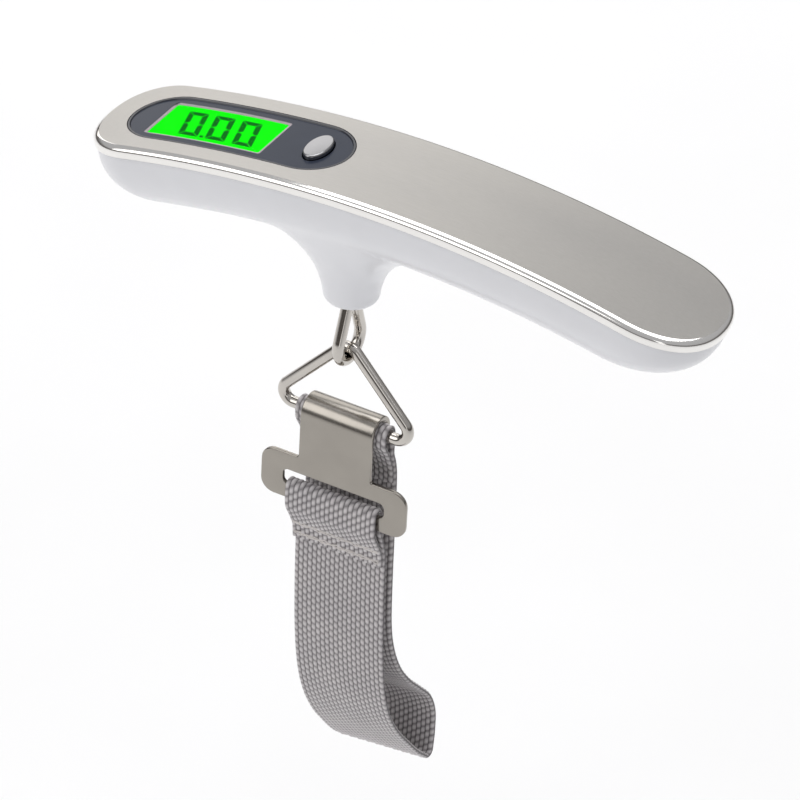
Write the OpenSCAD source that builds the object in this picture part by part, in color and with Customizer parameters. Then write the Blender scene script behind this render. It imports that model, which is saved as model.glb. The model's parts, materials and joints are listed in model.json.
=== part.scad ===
// Digital luggage scale: arched T-shaped grip, hanging eye, triangle ring,
// hook plate and webbing loop.
// Frame: X along the grip towards its long plain end, Z up, the front face
// looks along -Y. The origin is at the middle of the grip, where a hand holds it.

/* [Grip] */
// Length of the grip along its curved top
grip_l = 147.8; // [140:0.1:156]
// Width over the steel cover
grip_w = 29.8; // [28:0.1:32]
// Thickness of the grip at its middle
grip_t = 17; // [16.5:0.1:19]
// Radius of the curved top
arch_r = 278; // [240:1:400]
// Length of the rounded end beside the display
end_l = 12.5; // [10:0.1:15]
// Length of the rounded plain end
end_r = 17; // [14:0.1:20]

/* [Cover and shell] */
// Depth of the steel cover's rolled edge
skirt_h = 2.5; // [2:0.1:3.5]
// Sheet thickness of the steel cover
cover_t = 0.5; // [0.4:0.05:0.6]
// Wall thickness of the plastic shell
wall = 1.8; // [1.4:0.1:2.2]
// Radius of the shell's lower edges
belly_r = 12; // [11:0.5:12.5]

/* [Neck] */
// Position of the neck along the grip
neck_x = -13; // [-16:0.5:-8]
// Outside radius at the neck's mouth
neck_r = 5.95; // [5.8:0.05:7]
// Height of the neck's mouth below the grip's middle
neck_drop = 25.7; // [24:0.1:28]
// Radius of the flare between neck and grip, on the plain side
flare_r = 17; // [14:0.5:18]
// Reach of the longer flare on the display side
flare_reach = 24; // [17:0.5:26]

/* [Display] */
// Middle of the display bezel along the grip
bezel_s = -41; // [-43:0.5:-40]
// Length of the bezel
bezel_l = 52.4; // [50:0.2:54]
// Width of the bezel
bezel_w = 18.8; // [18:0.2:19.6]
// Middle of the display window along the grip
lcd_s = -46.6; // [-48:0.2:-46]
// Length of the visible display
lcd_l = 27; // [24:0.2:28]
// Width of the visible display
lcd_w = 12.6; // [11:0.2:13]
// Middle of the power button along the grip
button_s = -22.3; // [-23:0.1:-22]

/* [Hanging parts] */
// Diameter of the ring and eye wire
wire_d = 2.6; // [2.4:0.1:2.8]
// Height of the eye's round part below the grip's middle
eye_drop = 36.3; // [35.5:0.1:38]
// Radius of the eye's round part, on the wire's centreline
eye_r = 4.5; // [4.3:0.1:5]
// Height of the triangle ring between apex and base bar centrelines
ring_h = 18.7; // [17:0.1:20]
// Width of the triangle ring between corner centres
ring_w = 24.8; // [23.4:0.1:27]
// Bend radius of the triangle's corners, on the centreline
ring_bend = 2.6; // [2.2:0.1:3]

/* [Hook plate and strap] */
// Sheet thickness of the hook plate
plate_t = 1; // [0.8:0.05:1.2]
// Width of the plate's rolled hook
hook_w = 17.4; // [15:0.1:18]
// Width over the plate's wings
wing_w = 35.2; // [32:0.1:36]
// Height of the wings
wing_h = 11.4; // [10:0.1:13]
// Width of the webbing
web_w = 22; // [20:0.1:22.5]
// Thickness of the webbing
web_t = 1.2; // [1:0.05:1.3]

/* [Hidden] */
$fn = 48;

white = "#eef0f5";
steel = "#b9b5ae";
nickel = "#a9a59d";
dark = "#3b4150";
green = "#1fe01f";
grey_web = "#a7a3a6";

gap = 0.05;                         // running clearance and clearance between parts
half_l = grip_l / 2;
half_w = grip_w / 2;
top_z = grip_t / 2;
arch_z = top_z - arch_r;            // height of the arch's axis
end_power = 2.2;                    // roundness of the grip's ends in plan
end_steps = 14;                     // facets on each rounded end
side_steps = 9;                     // facets along each straight side
keel_setback = 0.5;                 // how much more the ends draw in below
plain_rise = 1.9;                   // the plain end rises this much more than the display end
wire_r = wire_d / 2;

// ---- curved frame ----

// Angle of the place s millimetres along the arch
function arch_a(s) = s / arch_r * 180 / PI;

// Point of the arch frame: s along the top, y across, h below the top
function arch_pt(s, y, h) = [
    (arch_r - h) * sin(arch_a(s)),
    y,
    arch_z + (arch_r - h) * cos(arch_a(s))
];

// Stands its children on the curved top at s, with Z along the local normal
module on_arch(s) {
    translate([0, 0, arch_z]) rotate([0, arch_a(s), 0]) translate([0, 0, arch_r]) children();
}

// Signed power that squares a circle slightly
function squared(c) = sign(c) * pow(abs(c), 2 / end_power);

// Outline of the grip in plan, drawn in by e; m draws its two ends in further
function outline(e, m = 0) = let (right = half_l - end_r - plain_rise * e * m,
    left = half_l - end_l - e * m) concat(
    [for (k = [0 : end_steps]) let (a = -90 + 180 * k / end_steps)
        [right + (end_r - e) * squared(cos(a)), (half_w - e) * squared(sin(a))]],
    [for (k = [1 : side_steps]) let (u = k / (side_steps + 1)) [right * (1 - u) - left * u, half_w - e]],
    [for (k = [0 : end_steps]) let (a = 90 + 180 * k / end_steps)
        [(end_l - min(e, end_l)) * squared(cos(a)) - left, (half_w - e) * squared(sin(a))]],
    [for (k = [1 : side_steps]) let (u = k / (side_steps + 1)) [right * u - left * (1 - u), -(half_w - e)]]
);

// Solid through rings of [draw-in, depth], closed across by strips top and bottom
module arch_loft(rings, m = 0) {
    n = 2 * (end_steps + side_steps) + 2;
    last = (len(rings) - 1) * n;
    mirror_of = [for (i = [0 : n - 1]) (end_steps - i + n) % n];
    first_tip = end_steps / 2;
    points = [for (r = rings) for (p = outline(r[0], m)) arch_pt(p[0], p[1], r[1])];
    sides = [for (j = [0 : len(rings) - 2]) for (i = [0 : n - 1]) let (i2 = (i + 1) % n)
        for (f = [[j * n + i, j * n + i2, (j + 1) * n + i2], [j * n + i, (j + 1) * n + i2, (j + 1) * n + i]])
            f];
    strips = [for (k = [0 : n / 2 - 1]) let (i = (first_tip + k) % n, i2 = (i + 1) % n) [i, i2]];
    caps_top = [for (s = strips) let (a = mirror_of[s[0]], b = mirror_of[s[1]])
        a == s[0] ? [s[0], b, s[1]] : b == s[1] ? [s[0], a, s[1]] : [s[0], a, b, s[1]]];
    caps_low = [for (f = caps_top) [for (k = [len(f) - 1 : -1 : 0]) f[k] + last]];
    polyhedron(points, concat(sides, caps_top, caps_low), convexity = 6);
}

// Flat-ended bar with round ends, across Y when turned
module stadium(l, w) {
    square([l - w, w], center = true);
    for (x = [-1, 1]) translate([x * (l - w) / 2, 0]) circle(d = w);
}

// Stadium post standing in the curved frame, from depth h1 down to h2
module arch_stadium(s, l, w, h1, h2) {
    intersection() {
        on_arch(s) translate([0, 0, -h2 - 4]) linear_extrude(h2 - h1 + 8) stadium(l, w);
        translate([0, 0, arch_z]) rotate([90, 0, 0]) difference() {
            cylinder(r = arch_r - h1, h = 2 * half_w, center = true, $fn = 360);
            cylinder(r = arch_r - h2, h = 2 * half_w + 1, center = true, $fn = 360);
        }
    }
}

// Box in the curved frame, given its middle, size and depth of its top
module arch_box(s, size, h, y = 0) {
    on_arch(s) translate([-size[0] / 2, y - size[1] / 2, -h - size[2]]) cube(size);
}

// Round post or hole in the curved frame from depth h1 down to h2
module arch_post(s, y, r, h1, h2) {
    on_arch(s) translate([0, y, -h2]) cylinder(r = r, h = h2 - h1);
}

// Points between p1 and p2 on a smooth curve that also heeds p0 and p3
function smooth(p0, p1, p2, p3, t) = 0.5 * (2 * p1 + (p2 - p0) * t
    + (2 * p0 - 5 * p1 + 4 * p2 - p3) * t * t + (3 * p1 - p0 - 3 * p2 + p3) * t * t * t);

function curve(pts, steps) = let (n = len(pts)) concat(
    [for (i = [0 : n - 2]) for (k = [0 : steps - 1])
        smooth(pts[max(i - 1, 0)], pts[i], pts[i + 1], pts[min(i + 2, n - 1)], k / steps)],
    [pts[n - 1]]);

// Tube of radius r along points; across is a direction that the route never takes
module tube(points, r, sides, closed = false, across = [0, 1, 0]) {
    n = len(points);
    dirs = [for (i = [0 : n - 1]) closed
        ? points[(i + 1) % n] - points[(i - 1 + n) % n]
        : points[min(i + 1, n - 1)] - points[max(i - 1, 0)]];
    skin = [for (i = [0 : n - 1])
        let (u = cross(dirs[i], across), v = cross(u, dirs[i]), u1 = u / norm(u), v1 = v / norm(v))
            for (k = [0 : sides - 1]) let (a = 360 * k / sides) points[i] + r * (u1 * cos(a) + v1 * sin(a))];
    walls = [for (i = [0 : closed ? n - 1 : n - 2]) for (k = [0 : sides - 1])
        let (a = i * sides, b = ((i + 1) % n) * sides, k2 = (k + 1) % sides)
            for (f = [[a + k, a + k2, b + k2], [a + k, b + k2, b + k]]) f];
    last = (n - 1) * sides;
    ends = closed ? [] : [[for (k = [sides - 1 : -1 : 0]) k], [for (k = [0 : sides - 1]) last + k]];
    polyhedron(skin, concat(walls, ends), convexity = 6);
}

// ---- grip housing ----

cover_in = cover_t + gap;           // draw-in of the parts inside the skirt
deck_h = cover_t + 0.15;            // depth of the deck's top
deck_t = 1.6;
deck_bevel = 0.65;                  // keeps the deck's rim clear of the cover's rounded edge
deck_floor = deck_h + deck_t;       // depth of the deck's underside
shell_e = 0.25;                     // the shell stands this far inside the skirt
rim_e = cover_in + 0.05;
round_steps = 6;
screw_places = [[-33, 11.2], [-33, -11.2], [27, 11.2], [27, -11.2], [70, 0]];
post_r = 2.1;
pilot_r = 0.8;

belly_h = grip_t - belly_r;         // depth where the lower edges start

// Rings of the shell's rounded belly, set in by t
function belly(t) = [for (k = [0 : round_steps]) let (a = 90 * k / round_steps)
    [shell_e + t + (belly_r - t) * (1 - cos(a)), belly_h + (belly_r - t) * sin(a)]];

module shell_outside() {
    arch_loft(concat([[rim_e, deck_floor + gap], [rim_e, skirt_h + gap], [shell_e, skirt_h + gap]],
        belly(0)), keel_setback);
}

module shell_inside() {
    arch_loft(concat([[shell_e + wall, deck_floor - 1]], belly(wall)), keel_setback);
}

neck_steps = 32;
neck_top = 22.5;                    // the neck's loft runs this far up from its mouth
side_swell = 0.0134;                // growth of the neck across the grip

// Half extents of the neck at height d above its mouth: plain side, display side and across
function neck_x_half(d) = neck_r + flare_r - sqrt(max(flare_r * flare_r - d * d, 9));
function neck_x_long(d) = neck_r + flare_reach * (1 - sqrt(max(1 - pow(d / flare_r, 2), 0.03)));
function neck_y_half(d) = neck_r + side_swell * d * d;

// Neck between heights, drawn in by t; lip rounds the mouth
module neck_loft(d_list, t, lip) {
    rings = [for (d = d_list) let (c = d < lip ? lip - sqrt(lip * lip - (lip - d) * (lip - d)) : 0)
        [neck_x_half(d) - t - c, neck_x_long(d) - t - c, neck_y_half(d) - t - c, d]];
    points = [for (r = rings) for (k = [0 : neck_steps - 1]) let (a = 360 * k / neck_steps)
        [neck_x + (cos(a) > 0 ? r[0] : r[1]) * cos(a), r[2] * sin(a), r[3] - neck_drop]];
    n = neck_steps;
    last = len(rings) - 1;
    sides = [for (j = [0 : last - 1]) for (i = [0 : n - 1]) let (i2 = (i + 1) % n)
        for (f = [[j * n + i, (j + 1) * n + i2, j * n + i2], [j * n + i, (j + 1) * n + i, (j + 1) * n + i2]])
            f];
    ends = [[for (i = [0 : n - 1]) i], [for (i = [n - 1 : -1 : 0]) last * n + i]];
    polyhedron(points, concat(sides, ends), convexity = 4);
}

mouth_r = 4.9;                      // bore of the neck's mouth
mouth_l = 6;
throat_r = 3;                       // bore above the mouth, round the hanger's shank
cell_z = -5.3;                      // underside of the load cell
cell_size = [40, 9, 6.5];
cell_hang = 5.8;                    // from the cell's free end to the hanger's axis
cell_x = neck_x - cell_hang;
cell_fix = [26, 34];                // cell screws, measured from its free end
cell_pilot_r = 1.2;
door_s = 43.5;
door_size = [23.4, 21.4, 10];
door_gap = 0.2;

module lower_shell() {
    color(white) difference() {
        union() {
            difference() {
                union() {
                    shell_outside();
                    neck_loft([0, 0.25, 0.7, 1.3, 2, 4, 6.5, 9, 11.5, 13.5, 15.3, 16.5, neck_top], 0, 1.6);
                }
                shell_inside();
                neck_loft([8, 11.5, 14, 16, neck_top], wall, 0);
            }
            // pads under the fixed end of the load cell
            translate([cell_x + 22, -cell_size[1] / 2, -top_z + 1])
                cube([18, cell_size[1], cell_z + top_z - 1]);
            for (p = screw_places) arch_post(p[0], p[1], post_r, deck_floor + 0.12, deck_floor + 6.5);
        }
        translate([neck_x, 0, -neck_drop - 1]) cylinder(r = mouth_r, h = mouth_l + 1);
        translate([neck_x, 0, -neck_drop]) cylinder(r = throat_r, h = neck_drop);
        for (p = screw_places) arch_post(p[0], p[1], pilot_r, deck_floor - 1, deck_floor + 5.5);
        for (d = cell_fix) translate([cell_x + d, 0, -top_z + 0.7]) cylinder(r = cell_pilot_r, h = 8);
        arch_box(door_s, door_size, belly_h + 4.5);
    }
}

module top_deck() {
    color("gainsboro") difference() {
        arch_loft([[0.95, deck_h], [cover_in, deck_h + deck_bevel], [cover_in, deck_floor]]);
        arch_stadium(bezel_s, bezel_l - 2.6, bezel_w - 2.6, deck_h - 1, deck_floor + 1);
        arch_stadium(bezel_s, bezel_l + 2 * gap, bezel_w + 2 * gap, deck_h - 1, deck_h + 0.8);
        for (p = screw_places) {
            arch_post(p[0], p[1], pilot_r + 0.25, deck_h - 1, deck_floor + 1);
            arch_post(p[0], p[1], head_r + gap, deck_h - 1, deck_h + head_h);
        }
    }
}

module steel_cover() {
    color(steel) difference() {
        arch_loft([[1.3, 0], [0.7, 0.1], [0.25, 0.4], [0, 1], [0, skirt_h]]);
        arch_loft([[1.3 + cover_t, cover_t], [cover_t + 0.25, cover_t + 0.15], [cover_t, 1.2],
            [cover_t, skirt_h + 1]]);
        arch_stadium(bezel_s, bezel_l + 2 * gap, bezel_w + 2 * gap, -1, skirt_h);
    }
}

module cover_adhesive() {
    color("dimgray") difference() {
        arch_loft([[2.2, cover_t + 0.02], [2.2, deck_h - 0.02]]);
        arch_stadium(bezel_s, bezel_l + 3, bezel_w + 3, -1, skirt_h);
    }
}

head_r = 1.7;
head_h = 1.1;

module deck_screws() {
    color("silver") for (p = screw_places) {
        arch_post(p[0], p[1], head_r, deck_h + 0.15, deck_h + head_h - 0.03);
        arch_post(p[0], p[1], pilot_r - 0.02, deck_h + head_h - 0.1, deck_floor + 4.8);
    }
}

// ---- display ----

bezel_step = 0.95;                  // depth of the window's floor below the bezel's face
lens_margin = 1.2;
lens_t = 0.5;
panel_t = 1.5;
panel_h = bezel_step + 0.6;
light_t = 1.6;
light_h = panel_h + panel_t + 0.05;
light_floor = light_h + light_t;
board_h = light_floor + 1.7;
board_t = 1.2;
board_low = board_h + board_t;
board_x = 4.8;                      // middle of the board, from the middle of the display
board_size = [44.4, 18, board_t];
panel_size = [lcd_l + 2.2, lcd_w + 1.6];
holder_size = [lcd_l + 6.6, lcd_w + 5];
holder_h = deck_floor + 0.6;        // depth of the holder's top
button_size = [9.4, 5.2];           // long across the grip, short along it
button_gap = 0.12;
button_rise = 0.9;                  // the button's crown above the bezel
button_low = deck_floor + 0.3;      // depth of the button's underside
switch_h = 1.9;
plunger_r = 1.25;
plunger_low = 4.3;

// The display, its holder and the board all lie flat in the frame at the display's middle
module on_display(x, y, h) {
    on_arch(lcd_s) translate([x, y, -h]) children();
}

// Block centred on the origin, its top face at the origin
module slab(l, w, t) {
    translate([-l / 2, -w / 2, -t]) cube([l, w, t]);
}

module display_bezel() {
    color(dark) difference() {
        union() {
            arch_stadium(bezel_s, bezel_l, bezel_w, 0.05, deck_h + 0.75);
            arch_stadium(bezel_s, bezel_l - 2.8, bezel_w - 2.8, deck_h, deck_floor);
            // bosses that take the board's two screws near the button
            for (p = boss_screws)
                on_display(p[0], p[1], board_h - 0.02) cylinder(r = 1, h = board_h - boss_top);
        }
        for (p = boss_screws) board_hole(p, board_screw_r + 0.02, board_h - 1.2);
        on_display(0, 0, -5) slab(lcd_l + 2 * lens_margin, lcd_w + 2 * lens_margin, 5 + bezel_step);
        on_display(0, 0, 0) slab(lcd_l, lcd_w, 6);
        on_display(0, 0, panel_h - 0.1) slab(panel_size[0] + 0.4, panel_size[1] + 0.4, 6);
        on_arch(button_s) translate([0, 0, -5]) linear_extrude(9)
            rotate(90) stadium(button_size[0] + 2 * button_gap, button_size[1] + 2 * button_gap);
    }
}

module lcd_window() {
    color("white", 0.4) on_display(0, 0, bezel_step - lens_t - 0.02)
        slab(lcd_l + 2 * lens_margin - 2 * gap, lcd_w + 2 * lens_margin - 2 * gap, lens_t);
}

module lcd_panel() {
    color(green) on_display(0, 0, panel_h) slab(panel_size[0], panel_size[1], panel_t);
}

digit_w = 4.7;
digit_h = 9;
stroke = 1.05;
nick = 0.12;                        // gap between neighbouring bars
digit_pitch = 6.5;
slant = -0.29;                      // lean of the digits
print_t = 0.06;

// One seven-segment zero: six bars round a cell
module zero_bars() {
    bar_h = (digit_h - stroke) / 2 - stroke * 0.75;
    for (v = [-1, 1]) {
        translate([0, v * (digit_h - stroke) / 2])
            square([digit_w - 2 * stroke - nick, stroke], center = true);
        for (u = [-1, 1])
            translate([u * (digit_w - stroke) / 2, v * (bar_h / 2 + nick + stroke * 0.1)])
                square([stroke, bar_h], center = true);
    }
}

module lcd_segments() {
    color("darkgreen") on_display(0, 0, panel_h - 0.01)
        linear_extrude(print_t) multmatrix([[1, slant, 0, 0], [0, 1, 0, 0], [0, 0, 1, 0], [0, 0, 0, 1]]) {
            for (k = [-1 : 1]) translate([0.9 + k * digit_pitch, -0.5]) zero_bars();
            translate([0.8 - digit_pitch / 2, -digit_h / 2]) square([0.8, 0.8], center = true);
        }
}

module backlight_guide() {
    color("ivory") on_display(0, 0, light_h) slab(panel_size[0], panel_size[1], light_t);
}

zebra_w = 1.6;
zebra_y = -6.6;

module lcd_holder() {
    color("whitesmoke") difference() {
        on_display(0, 0, holder_h) slab(holder_size[0], holder_size[1], board_h - holder_h - 0.1);
        on_display(0, 0, 0) slab(panel_size[0] + 0.1, panel_size[1] + 0.1, light_floor);
        on_display(0, 0, 0) slab(lcd_l - 2, lcd_w - 1, 9);
        on_display(0, zebra_y, 0) slab(lcd_l, zebra_w + 0.2, 9);
        for (p = board_screws) board_hole(p, board_screw_r + 0.02, board_h - 1.2);
    }
}

module zebra_connector() {
    color("dimgray") on_display(0, zebra_y, light_floor + 0.03)
        slab(lcd_l - 1, zebra_w, board_h - light_floor - 0.1);
}

board_screws = [[-15, 7.3], [-15, -7.3], [15, 7.3], [15, -7.3]];
boss_screws = [[22, 6.9], [22, -6.9]];
boss_top = 2.6;
board_screw_r = 0.55;

// Hole up through the board from below, to depth h
module board_hole(p, r, h) {
    on_display(p[0], p[1], board_low + 1) cylinder(r = r, h = board_low + 1 - h);
}

module pcb() {
    color("green") difference() {
        on_display(board_x, 0, board_h) slab(board_size[0], board_size[1], board_t);
        for (p = concat(board_screws, boss_screws)) board_hole(p, 0.7, board_h - 1);
    }
}

module pcb_screws() {
    color("silver") for (p = concat(board_screws, boss_screws)) on_display(p[0], p[1], board_low) {
        translate([0, 0, -0.92]) cylinder(r = 1.2, h = 0.9);
        translate([0, 0, -0.1]) cylinder(r = board_screw_r, h = board_t + 1.1);
    }
}

module pcb_chip() {
    color("black") on_display(board_x - 4, 1, board_low + 1.22) cylinder(r1 = 3, r2 = 4, h = 1.2);
}

module pcb_components() {
    color("tan") for (k = [0 : 4])
        on_display(board_x - 12 + 3.2 * k, 6.2, board_low + 0.02) slab(2, 1.2, 0.8);
    color("silver") on_display(board_x + 8, -3, board_low + 0.02) slab(7, 2.4, 1.6);
}

module tact_switch() {
    color("black") difference() {
        on_display(button_s - lcd_s, 0, board_h - switch_h - 0.02) slab(5.2, 6, switch_h);
        arch_post(button_s, 0, plunger_r + gap, 0, plunger_low + 0.6);
    }
}

module switch_plunger() {
    color("dimgray") arch_post(button_s, 0, plunger_r, button_low + 0.01, plunger_low);
}

module power_button() {
    color("silver") on_arch(button_s) {
        translate([0, 0, -button_low]) linear_extrude(button_low + button_rise - 0.4)
            rotate(90) stadium(button_size[0], button_size[1]);
        translate([0, 0, button_rise - 0.41]) linear_extrude(0.41)
            rotate(90) stadium(button_size[0] - 0.8, button_size[1] - 0.8);
    }
}

// ---- load cell ----

module load_cell() {
    hole_r = 2.3;
    mid = cell_size[0] / 2 - 1;
    color("lightsteelblue") difference() {
        translate([cell_x, -cell_size[1] / 2, cell_z]) cube(cell_size);
        for (d = [-2.6, 2.6]) translate([cell_x + mid + d, 0, cell_z + cell_size[2] / 2])
            rotate([90, 0, 0]) cylinder(r = hole_r, h = 20, center = true);
        translate([cell_x + mid - 2.6, -10, cell_z + cell_size[2] / 2 - 0.8]) cube([5.2, 20, 1.6]);
        translate([neck_x, 0, cell_z - 1]) cylinder(r = 2 + gap, h = 10);
        for (d = cell_fix) translate([cell_x + d, 0, cell_z - 1]) cylinder(r = 1.6, h = 10);
    }
}

module strain_gauges() {
    color("orange") for (z = [cell_z + cell_size[2] + 0.01, cell_z - 0.16])
        translate([cell_x + 15.5, -3, z]) cube([6, 6, 0.15]);
}

module load_cell_screws() {
    color("silver") for (d = cell_fix) translate([cell_x + d, 0, cell_z]) {
        translate([0, 0, cell_size[2] + 0.02]) cylinder(r = 2.7, h = 1.9);
        translate([0, 0, -2.4]) cylinder(r = cell_pilot_r - 0.02, h = cell_size[2] + 2.6);
    }
}

// ---- battery ----

coin_r = 10;
coin_t = 3.2;
coin_h = 7.6;                       // depth of the cell's upper face

module battery_cell() {
    color("silver") {
        arch_post(door_s, 0, coin_r, coin_h, coin_h + coin_t - 0.4);
        arch_post(door_s, 0, coin_r - 1, coin_h + coin_t - 0.5, coin_h + coin_t);
    }
}

module battery_holder() {
    color("ghostwhite") difference() {
        union() {
            arch_post(door_s, 0, coin_r + 1.3, coin_h - 1.8, coin_h + 1.6);
            // feet that stand against the deck
            for (a = [60, 180, 300])
                arch_post(door_s + 9.6 * cos(a), 9.6 * sin(a), 1.4, deck_floor + 0.1, coin_h - 1.5);
        }
        arch_post(door_s, 0, coin_r + 0.15, coin_h - 0.6, coin_h + 4);
        arch_box(door_s - 12, [8, 3.2, 9], coin_h - 0.6, 0);
        arch_post(door_s + 3, 0, 1, 0, coin_h);
    }
}

module battery_contact_pos() {
    color("gold") {
        arch_box(door_s - coin_r - 0.65, [0.25, 3, 2.6], coin_h - 0.3);
        arch_box(door_s - coin_r - 1.6, [2, 3, 0.25], coin_h - 0.5);
    }
}

module battery_contact_neg() {
    color("gold") on_arch(door_s) difference() {
        translate([-4, -2, -coin_h + 0.03]) cube([8, 4, 0.3]);
        translate([1, -0.6, -coin_h - 1]) cube([2, 1.2, 3]);
    }
}

door_hinge = [door_size[0] / 2 - door_gap, grip_t + 0.3];   // place along the grip, depth

module battery_door() {
    // ribs that keep the cell up in its holder
    color(white) for (y = [-4, 4])
        arch_box(door_s, [12, 1.2, grip_t - wall - coin_h - coin_t], coin_h + coin_t + 0.1, y);
    color(white) difference() {
        intersection() {
            shell_outside();
            arch_box(door_s, [door_size[0] - 2 * door_gap, door_size[1] - 2 * door_gap, door_size[2]],
                belly_h + 4.5);
            // the latch end is rounded about the hinge, so it swings free
            on_arch(door_s) translate([door_hinge[0], 0, -door_hinge[1]]) rotate([90, 0, 0])
                cylinder(r = door_size[0] - 2 * door_gap, h = grip_w, center = true);
        }
        shell_inside();
        // finger notch at the latch end
        on_arch(door_s - door_size[0] / 2) translate([0, 0, -grip_t - 0.6])
            rotate([90, 0, 0]) cylinder(r = 1.3, h = 7, center = true);
    }
}

wire_sides = 8;

module battery_wires() {
    for (y = [-1, 1]) color(y < 0 ? "red" : "black")
        tube(curve([[32, y * 7, 0.6], [27, y * 7.2, 0.9], [10, y * 7.5, 0.5], [-12, y * 7.5, 0.2],
            [-17, y * 7.3, 0.2], [-20.4, y * 7.2, 0.6]], 4), 0.45, wire_sides);
}

module gauge_wires() {
    for (y = [-1, 1]) for (k = [0, 1]) color(k == 0 ? "white" : "green")
        tube(curve([[-2, y * (0.7 + 1.4 * k), 1.8], [-5, y * (1.2 + 1.6 * k), 2.6], [-9, y * (5 + k), 3.2],
            [-16, y * (5 + k), 3.4], [-20.6, y * (5 + k), 2.95]], 4), 0.35, wire_sides);
}

// ---- hanging eye ----

eye_z = -eye_drop;
eye_top_r = 1.5;                    // bend where the eye closes under the shank
eye_top_z = -neck_drop - 1.6;
shank_r = 2;
shank_top = cell_z + cell_size[2] + 4.6;
leg_tilt = asin((eye_r - eye_top_r) / (eye_top_z - eye_z));
ring_sides = 20;

// Points on an arc in a plane, about c, from angle a0 through span
function arc(c, r, a0, span, steps) = [for (k = [0 : steps]) let (a = a0 + span * k / steps)
    [c[0] + r * cos(a), c[1] + r * sin(a)]];

eye_path = concat(arc([0, eye_z], eye_r, 180 - leg_tilt, 180 + 2 * leg_tilt, 26),
    arc([0, eye_top_z], eye_top_r, leg_tilt, 180 - 2 * leg_tilt, 10));

module load_hanger() {
    shank_low = eye_top_z + 0.8;
    color(nickel) {
        tube([for (p = eye_path) [neck_x, p[0], p[1]]], wire_r, ring_sides, true, [1, 0, 0]);
        translate([neck_x, 0, shank_low]) cylinder(r = shank_r, h = shank_top - shank_low);
    }
}

module hanger_washer() {
    color("silver") translate([neck_x, 0, cell_z + cell_size[2] + gap]) difference() {
        cylinder(r = 4.2, h = 0.7);
        translate([0, 0, -1]) cylinder(r = shank_r + 0.01, h = 3);
    }
}

module hanger_nut() {
    color("silver") translate([neck_x, 0, cell_z + cell_size[2] + gap + 0.72]) difference() {
        cylinder(r = 4, h = 2.6, $fn = 6);
        translate([0, 0, -1]) cylinder(r = shank_r + 0.01, h = 5);
    }
}

// ---- triangle ring ----

apex_z = eye_z - eye_r + wire_d + gap;
bar_z = apex_z - ring_h;
ring_drop = ring_h - 2 * ring_bend; // apex bend centre above the base bend centres
ring_lean = atan2(ring_w / 2, ring_drop);

ring_path = concat(
    arc([ring_w / 2, bar_z + ring_bend], ring_bend, -90, 90 + ring_lean, 12),
    arc([0, apex_z - ring_bend], ring_bend, ring_lean, 180 - 2 * ring_lean, 10),
    arc([-ring_w / 2, bar_z + ring_bend], ring_bend, 180 - ring_lean, 90 + ring_lean, 12));

module triangle_ring() {
    color(nickel) tube([for (p = ring_path) [neck_x + p[0], 0, p[1]]], wire_r, ring_sides, true);
}

// ---- hook plate ----

sleeve_r = wire_r + gap + web_t;    // outside of the webbing round the bar
curl_in = sleeve_r + 0.35;
curl_out = curl_in + plate_t;
wing_top = bar_z - 10.5;
wing_low = wing_top - wing_h;
slot_w = 24.4;
slot_top = wing_top - 4.2;
slot_h = 3.5;

module rounded(w, h, r) {
    square([w - 2 * r, h], center = true);
    square([w, h - 2 * r], center = true);
    for (x = [-1, 1]) for (y = [-1, 1]) translate([x * (w / 2 - r), y * (h / 2 - r)]) circle(r = r);
}

module hook_plate() {
    color(nickel) translate([neck_x, 0, 0]) {
        translate([0, -curl_in, 0]) rotate([90, 0, 0]) linear_extrude(plate_t) difference() {
            union() {
                translate([0, (bar_z + wing_low + 4) / 2])
                    square([hook_w, bar_z - wing_low - 4], center = true);
                translate([0, (wing_top + wing_low) / 2]) rounded(wing_w, wing_h, 3.2);
            }
            translate([0, slot_top - slot_h / 2]) rounded(slot_w, slot_h, 1.2);
        }
        translate([-hook_w / 2, 0, bar_z]) rotate([0, 90, 0]) difference() {
            cylinder(r = curl_out, h = hook_w);
            translate([0, 0, -1]) cylinder(r = curl_in, h = hook_w + 2);
            translate([0, -20, -1]) cube([20, 40, hook_w + 2]);
        }
    }
}

// ---- webbing ----

// Left-hand normal of a curve at point i
function normal_at(c, i) = let (d = c[min(i + 1, len(c) - 1)] - c[max(i - 1, 0)]) [-d[1], d[0]] / norm(d);

// Outline of webbing that follows a route in the YZ plane
module web_line(route, steps) {
    c = curve(route, steps);
    edge = [for (s = [1, -1]) [for (i = [0 : len(c) - 1]) c[i] + s * web_t / 2 * normal_at(c, i)]];
    polygon(concat(edge[0], [for (i = [len(c) - 1 : -1 : 0]) edge[1][i]]));
}

// Webbing of full width from the outlines given to it
module webbing() {
    translate([neck_x - web_w / 2, 0, 0]) rotate([90, 0, 90]) linear_extrude(web_w) children();
}

sleeve_c = wire_r + gap + web_t / 2;
hem_split = -91.2;                  // the sewn hem ends here and the loop goes on
bottom_bar = slot_top - slot_h;     // upper edge of the plate's bottom bar

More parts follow.
